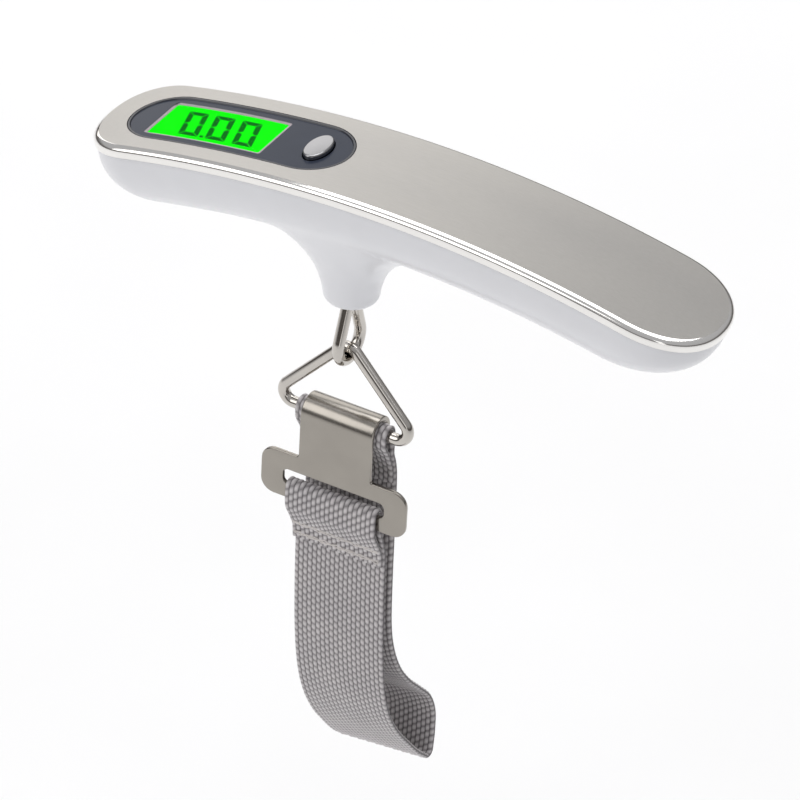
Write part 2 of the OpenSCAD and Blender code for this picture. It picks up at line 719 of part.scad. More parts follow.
// Loop: sewn end, round the ring's bar, down the back, round the toe, up the front
sleeve_route = [for (a = [200 : -20 : -20]) [sleeve_c * cos(a), bar_z + sleeve_c * sin(a)]];
back_route = [[1.95, bar_z - 3], [2, bar_z - 5.5], [3.2, bar_z - 9], [3.75, bar_z - 14], [4, -84], [4.2, -96],
    [4.8, -108], [6.6, -116], [10, -123.4], [14.6, -129.6], [19.8, -135], [24.6, -140.2], [27.2, -145.8],
    [27.5, -151.4], [27.25, -154.6]];
toe_c = [25.75, -156];
toe_r = 1.3;
toe_route = [for (a = [0 : -36 : -144]) toe_c + toe_r * [cos(a), sin(a)]];
front_route = [[23.5, -155.6], [20.6, -152.9], [15.8, -147.4], [10.6, -141], [6.4, -134], [3.6, -126],
    [1.9, -115], [1, -101], [0.7, hem_split - 0.3]];
sewn_route = [[2.2, bar_z - 13], [1.9, bar_z - 9.5], [0.2, bar_z - 5.2], [-1.7, bar_z - 2]];
// Hem: up behind the plate's bottom bar, over it through the slot, and down the front
hem_bend = [-curl_in - plate_t / 2, bottom_bar - 0.2];
hem_r = 1.2;
hem_route = concat([[0.7, hem_split], [0.4, -87], [-0.7, -83.4], [-1.9, -80.4], [-2.2, bottom_bar - 2]],
    arc(hem_bend, hem_r, 0, 180, 5),
    [[-4.7, bottom_bar - 2], [-4.5, -80], [-3.25, -82.4], [-1.95, -84.8], [-1, -87], [-0.66, -90]]);

module strap_loop() {
    color(grey_web) webbing()
        web_line(concat(sewn_route, sleeve_route, back_route, toe_route, front_route), 2);
}

module strap_hem() {
    color(grey_web) webbing() web_line(hem_route, 2);
}

lower_shell();
top_deck();
steel_cover();
cover_adhesive();
display_bezel();
lcd_window();
lcd_panel();
lcd_segments();
backlight_guide();
lcd_holder();
zebra_connector();
pcb();
pcb_chip();
pcb_components();
pcb_screws();
tact_switch();
switch_plunger();
power_button();
load_cell();
strain_gauges();
load_cell_screws();
deck_screws();
battery_cell();
battery_holder();
battery_contact_pos();
battery_contact_neg();
battery_door();
battery_wires();
gauge_wires();
load_hanger();
hanger_washer();
hanger_nut();
triangle_ring();
hook_plate();
strap_hem();
strap_loop();
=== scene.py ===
import json
import math

import bmesh
import bpy
import numpy as np
from mathutils import Matrix, Vector


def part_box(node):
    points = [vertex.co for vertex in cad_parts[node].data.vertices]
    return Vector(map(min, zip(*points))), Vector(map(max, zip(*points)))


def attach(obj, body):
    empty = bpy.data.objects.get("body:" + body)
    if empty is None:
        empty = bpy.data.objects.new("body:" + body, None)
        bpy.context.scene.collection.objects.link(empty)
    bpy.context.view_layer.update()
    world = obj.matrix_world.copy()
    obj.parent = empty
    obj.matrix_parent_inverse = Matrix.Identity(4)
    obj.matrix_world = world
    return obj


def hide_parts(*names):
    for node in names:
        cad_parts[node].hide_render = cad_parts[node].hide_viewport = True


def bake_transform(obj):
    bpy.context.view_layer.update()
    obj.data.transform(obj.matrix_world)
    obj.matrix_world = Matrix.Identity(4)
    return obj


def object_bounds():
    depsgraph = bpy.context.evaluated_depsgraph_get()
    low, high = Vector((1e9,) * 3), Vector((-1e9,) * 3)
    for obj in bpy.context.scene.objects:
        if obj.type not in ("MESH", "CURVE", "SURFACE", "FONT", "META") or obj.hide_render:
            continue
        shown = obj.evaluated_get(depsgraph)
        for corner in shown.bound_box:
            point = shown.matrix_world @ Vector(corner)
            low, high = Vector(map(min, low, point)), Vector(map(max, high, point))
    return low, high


# Digital luggage scale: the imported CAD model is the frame, and the pieces below give it its
# finished surfaces. Shapes are worked out in millimetres in the CAD model's own coordinates,
# x along the grip, y away from the viewer, z up; new_object turns them into metres.

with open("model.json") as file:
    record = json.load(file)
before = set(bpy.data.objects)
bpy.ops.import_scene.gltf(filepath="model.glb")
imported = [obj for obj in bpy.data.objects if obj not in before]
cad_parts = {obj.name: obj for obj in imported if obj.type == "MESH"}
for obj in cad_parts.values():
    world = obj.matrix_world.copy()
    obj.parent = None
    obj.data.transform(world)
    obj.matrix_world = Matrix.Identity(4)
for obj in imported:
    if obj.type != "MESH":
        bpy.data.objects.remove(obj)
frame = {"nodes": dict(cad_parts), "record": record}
cad_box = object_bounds()
scene = bpy.context.scene

MM = 0.001

# ---- driving dimensions, the same as the CAD model's, in millimetres ----

# grip: an oval in plan, bent along its length to the radius of its arch
HALF_L = 147.8 / 2
HALF_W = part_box("steel_cover")[1].y / MM
TOP_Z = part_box("steel_cover")[1].z / MM
ARCH_R = 278.0
END_L = 12.5
END_R = 17.0
END_POWER = 2.2
SKIRT_H = 2.5
COVER_T = 0.5
WALL = 1.8
BELLY_R = 12.0
BELLY_H = 5.0
SHELL_IN = 0.25
KEEL_SETBACK = 0.5
PLAIN_RISE = 1.9

# neck under the grip
NECK_X = (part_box("load_hanger")[0].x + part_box("load_hanger")[1].x) / 2 / MM
NECK_R = 5.95
NECK_DROP = 25.7
NECK_TOP = 23.5
FLARE_R = 17.0
FLARE_REACH = 24.0
SIDE_SWELL = 0.0134
LIP_R = 1.6
MOUTH_R = 4.9
MOUTH_H = 6
THROAT_R = 3.0

# display, button and battery door, each placed by its distance s along the arch
BEZEL_S = -41.0
BEZEL_L = 52.4
BEZEL_W = 18.8
LCD_S = -46.6
LCD_L = 27.0
LCD_W = 12.6
BUTTON_S = -22.3
BUTTON_L = 9.4
BUTTON_W = 5.2
BUTTON_RISE = 0.9
DOOR_S = 43.5
DOOR_L = 23.4
DOOR_W = 21.4
DOOR_GAP = 0.5
RIB_L = 12
RIB_T = 1.2
RIB_ASIDE = 4

# hanging eye and triangle ring
WIRE_R = 1.3
EYE_Z = -36.3
EYE_R = 4.5
EYE_TOP_R = 1.5
EYE_TOP_Z = -27.3
SHANK_R = 2.0
APEX_Z = EYE_Z - EYE_R + 2 * WIRE_R + 0.05
RING_H = 18.7
RING_W = 24.8
RING_BEND = 2.6
BAR_Z = APEX_Z - RING_H

# hook plate
PLATE_T = 1.0
HOOK_W = 17.4
WING_W = 35.2
WING_H = 11.4
CURL_IN = 2.9
WING_DROP = 10.5
SLOT_W = 24.4
SLOT_H = 3.5
SLOT_DROP = 4.2
BOTTOM_BAR = BAR_Z - WING_DROP - SLOT_DROP - SLOT_H

# webbing
WEB_W = 22.0
WEB_T = 1.2
HEM_SPLIT = -91.2


# ---- materials ----

def new_material(name):
    """A new material, its node tree and its shader."""
    mat = bpy.data.materials.new(name)
    mat.use_nodes = True
    shader = mat.node_tree.nodes["Principled BSDF"]
    return mat, mat.node_tree, shader


def coordinates(tree, scale=(1, 1, 1)):
    """Object coordinates in millimetres, stretched by scale."""
    source = tree.nodes.new("ShaderNodeTexCoord")
    mapping = tree.nodes.new("ShaderNodeMapping")
    mapping.inputs["Scale"].default_value = [1000 * v for v in scale]
    tree.links.new(source.outputs["Object"], mapping.inputs["Vector"])
    return mapping.outputs["Vector"]


def noise(tree, vector, scale, detail, roughness=0.5):
    """Noise from 0 to 1 over vector."""
    node = tree.nodes.new("ShaderNodeTexNoise")
    node.inputs["Scale"].default_value = scale
    node.inputs["Detail"].default_value = detail
    node.inputs["Roughness"].default_value = roughness
    tree.links.new(vector, node.inputs["Vector"])
    return node.outputs["Fac"]


def ramp(tree, fac, stops):
    """Colour ramp through stops of (place, colour)."""
    node = tree.nodes.new("ShaderNodeValToRGB")
    elements = node.color_ramp.elements
    while len(elements) < len(stops):
        elements.new(0.5)
    for element, (place, colour) in zip(elements, stops):
        element.position = place
        element.color = (*colour, 1)
    tree.links.new(fac, node.inputs["Fac"])
    return node.outputs["Color"]


def two_tone(tree, fac, dark, light, low=0.3):
    """Colour that passes from dark to light over the middle of fac's range."""
    return ramp(tree, fac, [(low, dark), (1 - low, light)])


def multiply(tree, first, second):
    """The product of two colours."""
    node = tree.nodes.new("ShaderNodeMix")
    node.data_type = "RGBA"
    node.blend_type = "MULTIPLY"
    node.inputs["Factor"].default_value = 1.0
    tree.links.new(first, node.inputs["A"])
    tree.links.new(second, node.inputs["B"])
    return node.outputs["Result"]


def remap(tree, fac, low, high):
    """fac, spread from low to high."""
    node = tree.nodes.new("ShaderNodeMapRange")
    node.inputs["To Min"].default_value = low
    node.inputs["To Max"].default_value = high
    tree.links.new(fac, node.inputs["Value"])
    return node.outputs["Result"]


def bump(tree, shader, height, strength, distance):
    """Fine relief in the shading."""
    node = tree.nodes.new("ShaderNodeBump")
    node.inputs["Strength"].default_value = strength
    node.inputs["Distance"].default_value = distance
    tree.links.new(height, node.inputs["Height"])
    tree.links.new(node.outputs["Normal"], shader.inputs["Normal"])


def plain_material(name, colour, roughness, metallic=0.0, spread=0.08, grain=3.0, relief=0.00002,
                   coat=0.0, gloss=0.5):
    """Moulded, plated or cast finish: slight colour and gloss variation over a fine grain."""
    mat, tree, shader = new_material(name)
    shader.inputs["Metallic"].default_value = metallic
    shader.inputs["Coat Weight"].default_value = coat
    shader.inputs["Specular IOR Level"].default_value = gloss
    shader.inputs["Coat Roughness"].default_value = 0.08
    vector = coordinates(tree)
    broad = noise(tree, vector, 0.15, 2.0)
    fine = noise(tree, vector, grain, 4.0)
    dark = tuple(c * (1 - spread) for c in colour)
    tree.links.new(two_tone(tree, broad, dark, colour), shader.inputs["Base Color"])
    tree.links.new(remap(tree, fine, roughness * 0.85, roughness * 1.15), shader.inputs["Roughness"])
    bump(tree, shader, fine, 0.15, relief)
    return mat


def brushed_material():
    """Stainless sheet, brushed along the grip: long fine streaks in gloss and relief."""
    mat, tree, shader = new_material("brushed_steel")
    shader.inputs["Metallic"].default_value = 1.0
    shader.inputs["Anisotropic"].default_value = 0.55
    streak = noise(tree, coordinates(tree, (0.035, 1, 0.35)), 9.0, 6.0, 0.75)
    scratch = noise(tree, coordinates(tree, (0.012, 1, 0.2)), 26.0, 2.0, 0.6)
    broad = noise(tree, coordinates(tree, (0.3, 1, 1)), 0.06, 1.0)
    grey = two_tone(tree, streak, (0.45, 0.435, 0.41), (0.54, 0.525, 0.50), 0.25)
    tint = two_tone(tree, broad, (0.94, 0.94, 0.95), (1, 1, 1))
    tree.links.new(multiply(tree, grey, tint), shader.inputs["Base Color"])
    tree.links.new(remap(tree, streak, 0.34, 0.46), shader.inputs["Roughness"])
    tangent = tree.nodes.new("ShaderNodeTangent")
    tangent.direction_type = "RADIAL"
    tangent.axis = "Y"
    tree.links.new(tangent.outputs["Tangent"], shader.inputs["Tangent"])
    bump(tree, shader, scratch, 0.2, 0.00001)
    return mat


def webbing_material():
    """Grey polyester weave. The mesh's point attribute read below is 0 deep between the yarns and 1 on top of
    them; the colour is painted darker towards 0, as painted shade in the hollows between the yarns.
    """
    mat, tree, shader = new_material("grey_webbing")
    shader.inputs["Sheen Weight"].default_value = 0.25
    shader.inputs["Sheen Roughness"].default_value = 0.4
    shader.inputs["Specular IOR Level"].default_value = 0.35
    depth = tree.nodes.new("ShaderNodeAttribute")
    depth.attribute_name = "yarn_and_gap_shade"
    fibre = noise(tree, coordinates(tree, (3, 1, 1)), 5.0, 3.0)
    broad = noise(tree, coordinates(tree), 0.12, 2.0)
    # painted shade: the colour runs from near black deep between the yarns to light grey on their tops,
    # darkening the hollows where shade falls
    yarn_and_gap_shade = ramp(tree, depth.outputs["Fac"], [
        (0.0, (0.12, 0.11, 0.115)), (0.14, (0.31, 0.29, 0.295)),
        (0.5, (0.60, 0.57, 0.575)), (1.0, (0.82, 0.785, 0.79))])
    tint = two_tone(tree, fibre, (0.84, 0.84, 0.84), (1, 1, 1))
    shade = two_tone(tree, broad, (0.90, 0.90, 0.91), (1, 1, 1))
    colour = multiply(tree, multiply(tree, yarn_and_gap_shade, tint), shade)
    tree.links.new(colour, shader.inputs["Base Color"])
    tree.links.new(remap(tree, fibre, 0.55, 0.75), shader.inputs["Roughness"])
    bump(tree, shader, fibre, 0.4, 0.00004)
    return mat


def lit_material(name, glow, base):
    """Part of the lit display: an even glow with a faint cell grain, each colour a dark and a light."""
    mat, tree, shader = new_material(name)
    shader.inputs["Roughness"].default_value = 0.5
    shader.inputs["Specular IOR Level"].default_value = 0.0
    shader.inputs["Emission Strength"].default_value = 1.0
    grain = noise(tree, coordinates(tree), 2.0, 2.0)
    tree.links.new(two_tone(tree, grain, *glow), shader.inputs["Emission Color"])
    tree.links.new(two_tone(tree, grain, *base), shader.inputs["Base Color"])
    return mat


def lens_material():
    """Clear acrylic: what lies under it shows through, with a faint gloss."""
    mat, tree, shader = new_material("clear_lens")
    grain = noise(tree, coordinates(tree), 0.3, 2.0)
    tree.links.new(remap(tree, grain, 0.02, 0.05), shader.inputs["Roughness"])
    green = two_tone(tree, grain, (0.30, 0.45, 0.30), (0.34, 0.5, 0.34))
    tree.links.new(green, shader.inputs["Base Color"])
    shader.inputs["Alpha"].default_value = 0.012
    shader.inputs["Specular IOR Level"].default_value = 0.2
    shader.inputs["IOR"].default_value = 1.45
    return mat


STEEL = brushed_material()
POLISHED = plain_material("polished_edge", (0.90, 0.885, 0.86), 0.10, metallic=1.0, spread=0.03)
SHELL_WHITE = plain_material("white_shell", (0.84, 0.845, 0.875), 0.30, spread=0.02, coat=0.25)
BEZEL_DARK = plain_material("bezel_plastic", (0.028, 0.035, 0.055), 0.22, spread=0.10, gloss=0.15)
BEZEL_RIM = plain_material("bezel_rim", (0.020, 0.022, 0.032), 0.2, spread=0.08)
# painted highlight: the window's stepped ledge is the same dark bezel plastic, coloured pale pinkish grey to
# stand in for the light its bevels catch
LEDGE_PAINTED_HIGHLIGHT = plain_material("window_ledge_painted_highlight", (0.36, 0.31, 0.34), 0.35, spread=0.08)
CHROME = plain_material("button_chrome", (0.35, 0.35, 0.36), 0.2, metallic=1.0, spread=0.05)
NICKEL = plain_material("nickel_wire", (0.60, 0.57, 0.53), 0.08, metallic=1.0, spread=0.10)
PLATE = plain_material("nickel_plate", (0.37, 0.345, 0.31), 0.23, metallic=1.0, spread=0.08)
WEBBING = webbing_material()
THREAD = plain_material("cream_thread", (0.74, 0.70, 0.68), 0.6, spread=0.15, grain=8.0, relief=0.00005)
LCD = lit_material("lcd_green", ((0.0, 0.97, 0.0), (0.0, 1.0, 0.0)), ((0.0, 0.05, 0.0), (0.0, 0.07, 0.0)))
DIGITS = lit_material("lcd_digits", ((0.0, 0.12, 0.005), (0.0, 0.145, 0.01)),
                      ((0.0, 0.02, 0.0), (0.0, 0.03, 0.0)))
LENS = lens_material()

# slots of the pieces that can't be seen: colour, roughness, metallic, spread of the colour
INSIDE = {
    "deck_plastic": ((0.55, 0.55, 0.55), 0.5),
    "adhesive": ((0.03, 0.03, 0.03), 0.8),
    "light_guide": ((0.80, 0.85, 0.72), 0.35),
    "zebra": ((0.06, 0.06, 0.07), 0.6),
    "board": ((0.02, 0.16, 0.06), 0.4),
    "epoxy": ((0.01, 0.01, 0.01), 0.25),
    "components": ((0.28, 0.22, 0.14), 0.5, 0.0, 0.3),
    "plated_steel": ((0.62, 0.62, 0.60), 0.28, 1.0),
    "switch_black": ((0.02, 0.02, 0.02), 0.45),
    "cell_alloy": ((0.66, 0.67, 0.69), 0.35, 1.0),
    "gauge_film": ((0.50, 0.22, 0.05), 0.4),
    "coin_steel": ((0.70, 0.70, 0.69), 0.22, 1.0),
    "holder_plastic": ((0.70, 0.70, 0.68), 0.5),
    "contact_brass": ((0.75, 0.55, 0.22), 0.25, 1.0),
    "wire_cover": ((0.35, 0.04, 0.03), 0.45),
}

# finish of every material slot of the CAD model
FINISHES = {slot: plain_material(slot, *look) for slot, look in INSIDE.items()}
FINISHES.update(brushed_cover=STEEL, white_shell=SHELL_WHITE, bezel_plastic=BEZEL_DARK, lcd_green=LCD,
                lcd_digits=DIGITS, clear_lens=LENS, button_chrome=CHROME, nickel_wire=NICKEL,
                nickel_plate=PLATE, grey_webbing=WEBBING)


# ---- mesh helpers ----

def new_object(name, verts, faces, materials, face_materials=None, sharp=35.0):
    """Object from millimetre points, shaded smooth with edges over sharp degrees kept crisp."""
    mesh = bpy.data.meshes.new(name)
    mesh.from_pydata([tuple(c * MM for c in v) for v in verts], [], faces)
    mesh.update()
    obj = bpy.data.objects.new(name, mesh)
    scene.collection.objects.link(obj)
    for mat in materials:
        mesh.materials.append(mat)
    if face_materials is not None:
        mesh.polygons.foreach_set("material_index", face_materials)
    finish_mesh(obj, sharp)
    return obj


def finish_mesh(obj, sharp):
    """Outward normals, smooth shading, crisp edges."""
    work = bmesh.new()
    work.from_mesh(obj.data)
    bmesh.ops.recalc_face_normals(work, faces=work.faces)
    work.to_mesh(obj.data)
    work.free()
    obj.data.polygons.foreach_set("use_smooth", [True] * len(obj.data.polygons))
    obj.data.set_sharp_from_angle(angle=math.radians(sharp))
    obj.data.update()


def place(obj, body, slot, *nodes):
    """Says which body a piece rides and the CAD nodes it stands for. Its finish, slot, is not used."""
    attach(obj, body)
    if nodes:
        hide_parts(*nodes)


def bridge(rings, closed):
    """Quads between rings of equal count; closed joins the last ring to the first."""
    n = len(rings[0])
    faces = []
    pairs = len(rings) if closed else len(rings) - 1
    for j in range(pairs):
        a = j * n
        b = ((j + 1) % len(rings)) * n
        faces += [(a + i, a + (i + 1) % n, b + (i + 1) % n, b + i) for i in range(n)]
    return faces


def capped(rings):
    """Faces of a closed solid: quads between its rings and a flat cap at each end."""
    n = len(rings[0])
    last = (len(rings) - 1) * n
    return bridge(rings, False) + [tuple(range(n)), tuple(range(last, last + n))]


def flatten(rings):
    """All points of the rings, one after another."""
    return [p for ring in rings for p in ring]


def arch(s, y, h):
    """Point of the curved grip: s along the top, y across, h below the top."""
    a = s / ARCH_R
    return ((ARCH_R - h) * math.sin(a), y, TOP_Z - ARCH_R + (ARCH_R - h) * math.cos(a))


def arch_matrix(s):
    """Matrix, in metres, that stands an object on the curved top at s."""
    x, y, z = arch(s, 0, 0)
    return Matrix.Translation((x * MM, y * MM, z * MM)) @ Matrix.Rotation(s / ARCH_R, 4, "Y")


END_STEPS = 40   # of an outline's end arc
SIDE_STEPS = 44  # of its straight side


def squared(c, power):
    """Cosine or sine of an oval that is rounder than an ellipse when power is over 2."""
    return math.copysign(abs(c) ** (2 / power), c)


def oval(right, right_r, left, left_r, half_w, power=2):
    """Outline of two straight sides and an arc at each end, as (along, across)."""
    points = []
    for near, far, r, start, side in ((right, left, right_r, -90, half_w), (left, right, left_r, 90, -half_w)):
        for k in range(END_STEPS + 1):
            a = math.radians(start + 180 * k / END_STEPS)
            points.append((near + r * squared(math.cos(a), power), half_w * squared(math.sin(a), power)))
        for k in range(1, SIDE_STEPS + 1):
            u = k / (SIDE_STEPS + 1)
            points.append((near * (1 - u) + far * u, side))
    return points


def grip_outline(e, setback=0.0):
    """Outline of the grip in plan, drawn in by e all round and by e times setback more at its ends."""
    right = HALF_L - END_R - e * setback * PLAIN_RISE
    left = HALF_L - END_L - e * setback
    return oval(right, END_R - e, -left, END_L - min(e, END_L), HALF_W - e, END_POWER)


def stadium_outline(s, length, width):
    """Round-ended slot about s, with as many points as grip_outline gives."""
    r = width / 2
    return oval(s + length / 2 - r, r, s - length / 2 + r, r, r)


def between(a, b, t):
    """The outline at part t of the way from a to b."""
    return [((1 - t) * p[0] + t * q[0], (1 - t) * p[1] + t * q[1]) for p, q in zip(a, b)]


def on_arch(outline, h):
    """Ring of points at depth h below the curved top."""
    return [arch(s, y, h) for s, y in outline]


def catmull(points, steps):
    """Smooth curve through points."""
    pts = [np.array(p, float) for p in points]
    curve = []
    for i in range(len(pts) - 1):
        p0, p1 = pts[max(i - 1, 0)], pts[i]
        p2, p3 = pts[i + 1], pts[min(i + 2, len(pts) - 1)]
        for k in range(steps):
            t = k / steps
            curve.append(0.5 * (2 * p1 + (p2 - p0) * t + (2 * p0 - 5 * p1 + 4 * p2 - p3) * t * t
                                + (3 * p1 - p0 - 3 * p2 + p3) * t ** 3))
    curve.append(pts[-1])
    return np.array(curve)


def resample(curve, step):
    """The same curve with points an even step apart, and their distances along it."""
    length = np.concatenate([[0], np.cumsum(np.linalg.norm(np.diff(curve, axis=0), axis=1))])
    count = max(2, int(round(length[-1] / step)) + 1)
    along = np.linspace(0, length[-1], count)
    return np.stack([np.interp(along, length, curve[:, k]) for k in range(curve.shape[1])], 1), along


def arc(cx, cy, r, a0, span, steps):
    """Points of an arc from a0 over span, both in degrees."""
    return [(cx + r * math.cos(math.radians(a0 + span * k / steps)),
             cy + r * math.sin(math.radians(a0 + span * k / steps))) for k in range(steps + 1)]


def wire(points, r, sides, across, closed):
    """Round wire along a flat route; across is square to the route's plane."""
    pts = np.array(points, float)
    n = len(pts)
    side = np.array(across, float)
    rings = []
    for i in range(n):
        ahead = pts[(i + 1) % n] if closed else pts[min(i + 1, n - 1)]
        behind = pts[i - 1] if closed else pts[max(i - 1, 0)]
        d = ahead - behind
        d /= np.linalg.norm(d)
        u = np.cross(d, side)
        rings.append([tuple(pts[i] + r * (math.cos(a) * u + math.sin(a) * side))
                      for a in (2 * math.pi * k / sides for k in range(sides))])
    return flatten(rings), bridge(rings, True) if closed else capped(rings)


def baked(obj):
    """Applies an object's modifiers to its mesh."""
    graph = bpy.context.evaluated_depsgraph_get()
    mesh = bpy.data.meshes.new_from_object(obj.evaluated_get(graph))
    obj.modifiers.clear()
    obj.data = mesh


def combine(obj, other, operation, keep_other=False):
    """Boolean of two closed pieces."""
    modifier = obj.modifiers.new("cut", "BOOLEAN")
    modifier.operation = operation
    modifier.object = other
    modifier.solver = "EXACT"
    baked(obj)
    if not keep_other:
        bpy.data.objects.remove(other)


# ---- steel cover ----

TOP_RINGS = 26
ROLL_IN = 1.3      # how far from the edge the polished roll starts
ROLL_H = 1.25      # and how deep it ends
ROLL_STEPS = 9
ROLL_START = math.radians(22)
COVER_CREASE = 16  # keeps the line between roll and brushed face crisp


def steel_cover():
    """Brushed sheet with a polished rolled edge, open where the display sits."""
    hole = stadium_outline(BEZEL_S, BEZEL_L + 0.1, BEZEL_W + 0.1)
    rim = grip_outline(ROLL_IN)
    rings = [on_arch(between(hole, rim, k / TOP_RINGS), 0) for k in range(TOP_RINGS + 1)]
    brushed = len(rings) - 1
    sine, cosine = math.sin(ROLL_START), math.cos(ROLL_START)
    for k in range(1, ROLL_STEPS + 1):
        a = ROLL_START + (math.pi / 2 - ROLL_START) * k / ROLL_STEPS
        e = ROLL_IN * (1 - (math.sin(a) - sine) / (1 - sine))
        rings.append(on_arch(grip_outline(e), ROLL_H * (cosine - math.cos(a)) / cosine))
    rings += [on_arch(grip_outline(e), h) for e, h in (
        (0, 1.9), (0, SKIRT_H - 0.08), (0.08, SKIRT_H), (COVER_T - 0.08, SKIRT_H), (COVER_T, SKIRT_H - 0.08),
        (COVER_T, 1.3), (COVER_T + 0.25, COVER_T + 0.2), (ROLL_IN + COVER_T, COVER_T))]
    inner = grip_outline(ROLL_IN + COVER_T)
    rings += [on_arch(between(inner, hole, k / TOP_RINGS), COVER_T) for k in range(1, TOP_RINGS + 1)]
    n = len(rings[0])
    faces = bridge(rings, True)
    kinds = [0 if i // n < brushed else 1 for i in range(len(faces))]
    cover = new_object("cover_sheet", flatten(rings), faces, [STEEL, POLISHED], kinds, COVER_CREASE)
    place(cover, "grip", "brushed_cover", "steel_cover")


# ---- white shell, neck and battery door ----

def loft(name, rings):
    """Closed skin through rings in the curved frame, capped by strips straight across."""
    n = len(rings[0])
    faces = bridge(rings, False)
    tip = END_STEPS // 2
    mirror = {i: (END_STEPS - i) % n for i in range(n)}
    for k in range(n // 2):
        i = (tip + k) % n
        j = (i + 1) % n
        strip = []
        for v in (i, mirror[i], mirror[j], j):
            if v not in strip:
                strip.append(v)
        if len(strip) > 2:
            faces.append(tuple(strip))
            faces.append(tuple(v + (len(rings) - 1) * n for v in reversed(strip)))
    return new_object(name, flatten(rings), faces, [SHELL_WHITE])


def belly(t, steps=16):
    """Profile of the shell's rounded underside, t inside its skin, as (draw-in, depth)."""
    return [(SHELL_IN + t + (BELLY_R - t) * (1 - math.cos(a)), BELLY_H + (BELLY_R - t) * math.sin(a))
            for a in (math.pi / 2 * k / steps for k in range(steps + 1))]


NECK_SIDES = 72
NECK_RINGS = 60
NECK_SPACING = 1.3  # over 1 sets the rings closer at the mouth


def neck_solid():
    """The flared neck, with a rounded mouth. The flare stops short of running level."""
    rings = []
    for k in range(NECK_RINGS + 1):
        d = NECK_TOP * (k / NECK_RINGS) ** NECK_SPACING
        lip = LIP_R - math.sqrt(LIP_R ** 2 - (LIP_R - d) ** 2) if d < LIP_R else 0
        plain = NECK_R + FLARE_R - math.sqrt(max(FLARE_R ** 2 - d * d, 9)) - lip
        display = NECK_R + FLARE_REACH * (1 - math.sqrt(max(1 - (d / FLARE_R) ** 2, 0.03))) - lip
        half_w = NECK_R + SIDE_SWELL * d * d - lip
        ring = []
        for i in range(NECK_SIDES):
            a = 2 * math.pi * i / NECK_SIDES
            reach = plain if math.cos(a) > 0 else display
            ring.append((NECK_X + reach * math.cos(a), half_w * math.sin(a), d - NECK_DROP))
        rings.append(ring)
    return new_object("neck", flatten(rings), capped(rings), [SHELL_WHITE])


def cylinder(name, r, z0, z1, x, sides=64):
    """Upright closed cylinder about x."""
    rings = [[(x + r * math.cos(2 * math.pi * i / sides), r * math.sin(2 * math.pi * i / sides), z)
              for i in range(sides)] for z in (z0, z1)]
    return new_object(name, flatten(rings), capped(rings), [SHELL_WHITE])


def arch_block(name, s, length, width, h0, h1, r, y=0.0, steps=6):
    """Upright block in the curved frame, its corners rounded by r in plan."""
    outline = []
    for cx, cy, a0 in ((1, 1, 0), (-1, 1, 90), (-1, -1, 180), (1, -1, 270)):
        for k in range(steps + 1):
            a = math.radians(a0 + 90 * k / steps)
            outline.append((cx * (length / 2 - r) + r * math.cos(a), cy * (width / 2 - r) + r * math.sin(a)))
    rings = [[(px * MM, (py + y) * MM, -h * MM) for px, py in outline] for h in (h0, h1)]
    matrix = arch_matrix(s)
    rings = [[tuple(c / MM for c in matrix @ Vector(p)) for p in ring] for ring in rings]
    return new_object(name, flatten(rings), capped(rings), [SHELL_WHITE])


VOXEL = 0.42       # size of the remeshed skin's quads
EVEN_ROUNDS = 14
EVEN_IN = 0.50     # each round smooths by this part
EVEN_OUT = 0.53    # and swells back by this one, so that nothing shrinks
BLEND_ROUNDS = 90
BLEND_REACH = 25   # the melting fades out to this distance from the neck's axis
BLEND_FADE = 6
BLEND_LOW = 4.5    # and between these heights above the mouth
BLEND_HIGH = 23
BLEND_RISE = 4


def relax(obj):
    """Evens out the remeshed skin, and melts the neck into the grip where they meet."""
    mesh = obj.data
    n = len(mesh.vertices)
    co = np.empty(n * 3)
    mesh.vertices.foreach_get("co", co)
    co = co.reshape(-1, 3) / MM
    edges = np.empty(len(mesh.edges) * 2, int)
    mesh.edges.foreach_get("vertices", edges)
    a, b = edges.reshape(-1, 2).T
    degree = np.bincount(np.concatenate([a, b]), minlength=n).reshape(-1, 1)

    def pull(points):
        total = [np.bincount(a, points[b, k], n) + np.bincount(b, points[a, k], n) for k in range(3)]
        return np.stack(total, 1) / degree - points

    for _ in range(EVEN_ROUNDS):
        co += EVEN_IN * pull(co)
        co -= EVEN_OUT * pull(co)
    aside = co[:, 0] - NECK_X
    reach = np.hypot(np.where(aside < 0, aside * 0.68, aside), co[:, 1] * 1.15)
    height = co[:, 2] + NECK_DROP
    near = np.clip((BLEND_REACH - reach) / BLEND_FADE, 0, 1)
    near = near * np.clip((height - BLEND_LOW) / BLEND_RISE, 0, 1)
    near = near * np.clip((BLEND_HIGH - height) / BLEND_RISE, 0, 1)
    weight = (0.5 * near * near * (3 - 2 * near)).reshape(-1, 1)
    for _ in range(BLEND_ROUNDS):
        co += weight * pull(co)
    mesh.vertices.foreach_set("co", (co * MM).ravel())
    mesh.update()


def shell_body():
    """The whole outside of shell and neck as one smooth closed skin."""
    rings = [(0.6, 1.4), (0.6, SKIRT_H - 0.2), (0.32, SKIRT_H + 0.07), (SHELL_IN, SKIRT_H + 0.25)] + belly(0)
    body = loft("shell_skin", [on_arch(grip_outline(e, KEEL_SETBACK), h) for e, h in rings])
    combine(body, neck_solid(), "UNION")
    modifier = body.modifiers.new("even", "REMESH")
    modifier.mode = "VOXEL"
    modifier.voxel_size = VOXEL * MM
    baked(body)
    relax(body)
    return body


def shell_cavity():
    """The hollow of the shell, for cutting."""
    rings = [(SHELL_IN + WALL, 0.0)] + belly(WALL)
    return loft("cavity", [on_arch(grip_outline(e, KEEL_SETBACK), h) for e, h in rings])


def copy_of(obj, name):
    """A second object with its own copy of the mesh."""
    other = obj.copy()
    other.data = obj.data.copy()
    other.name = name
    scene.collection.objects.link(other)
    return other


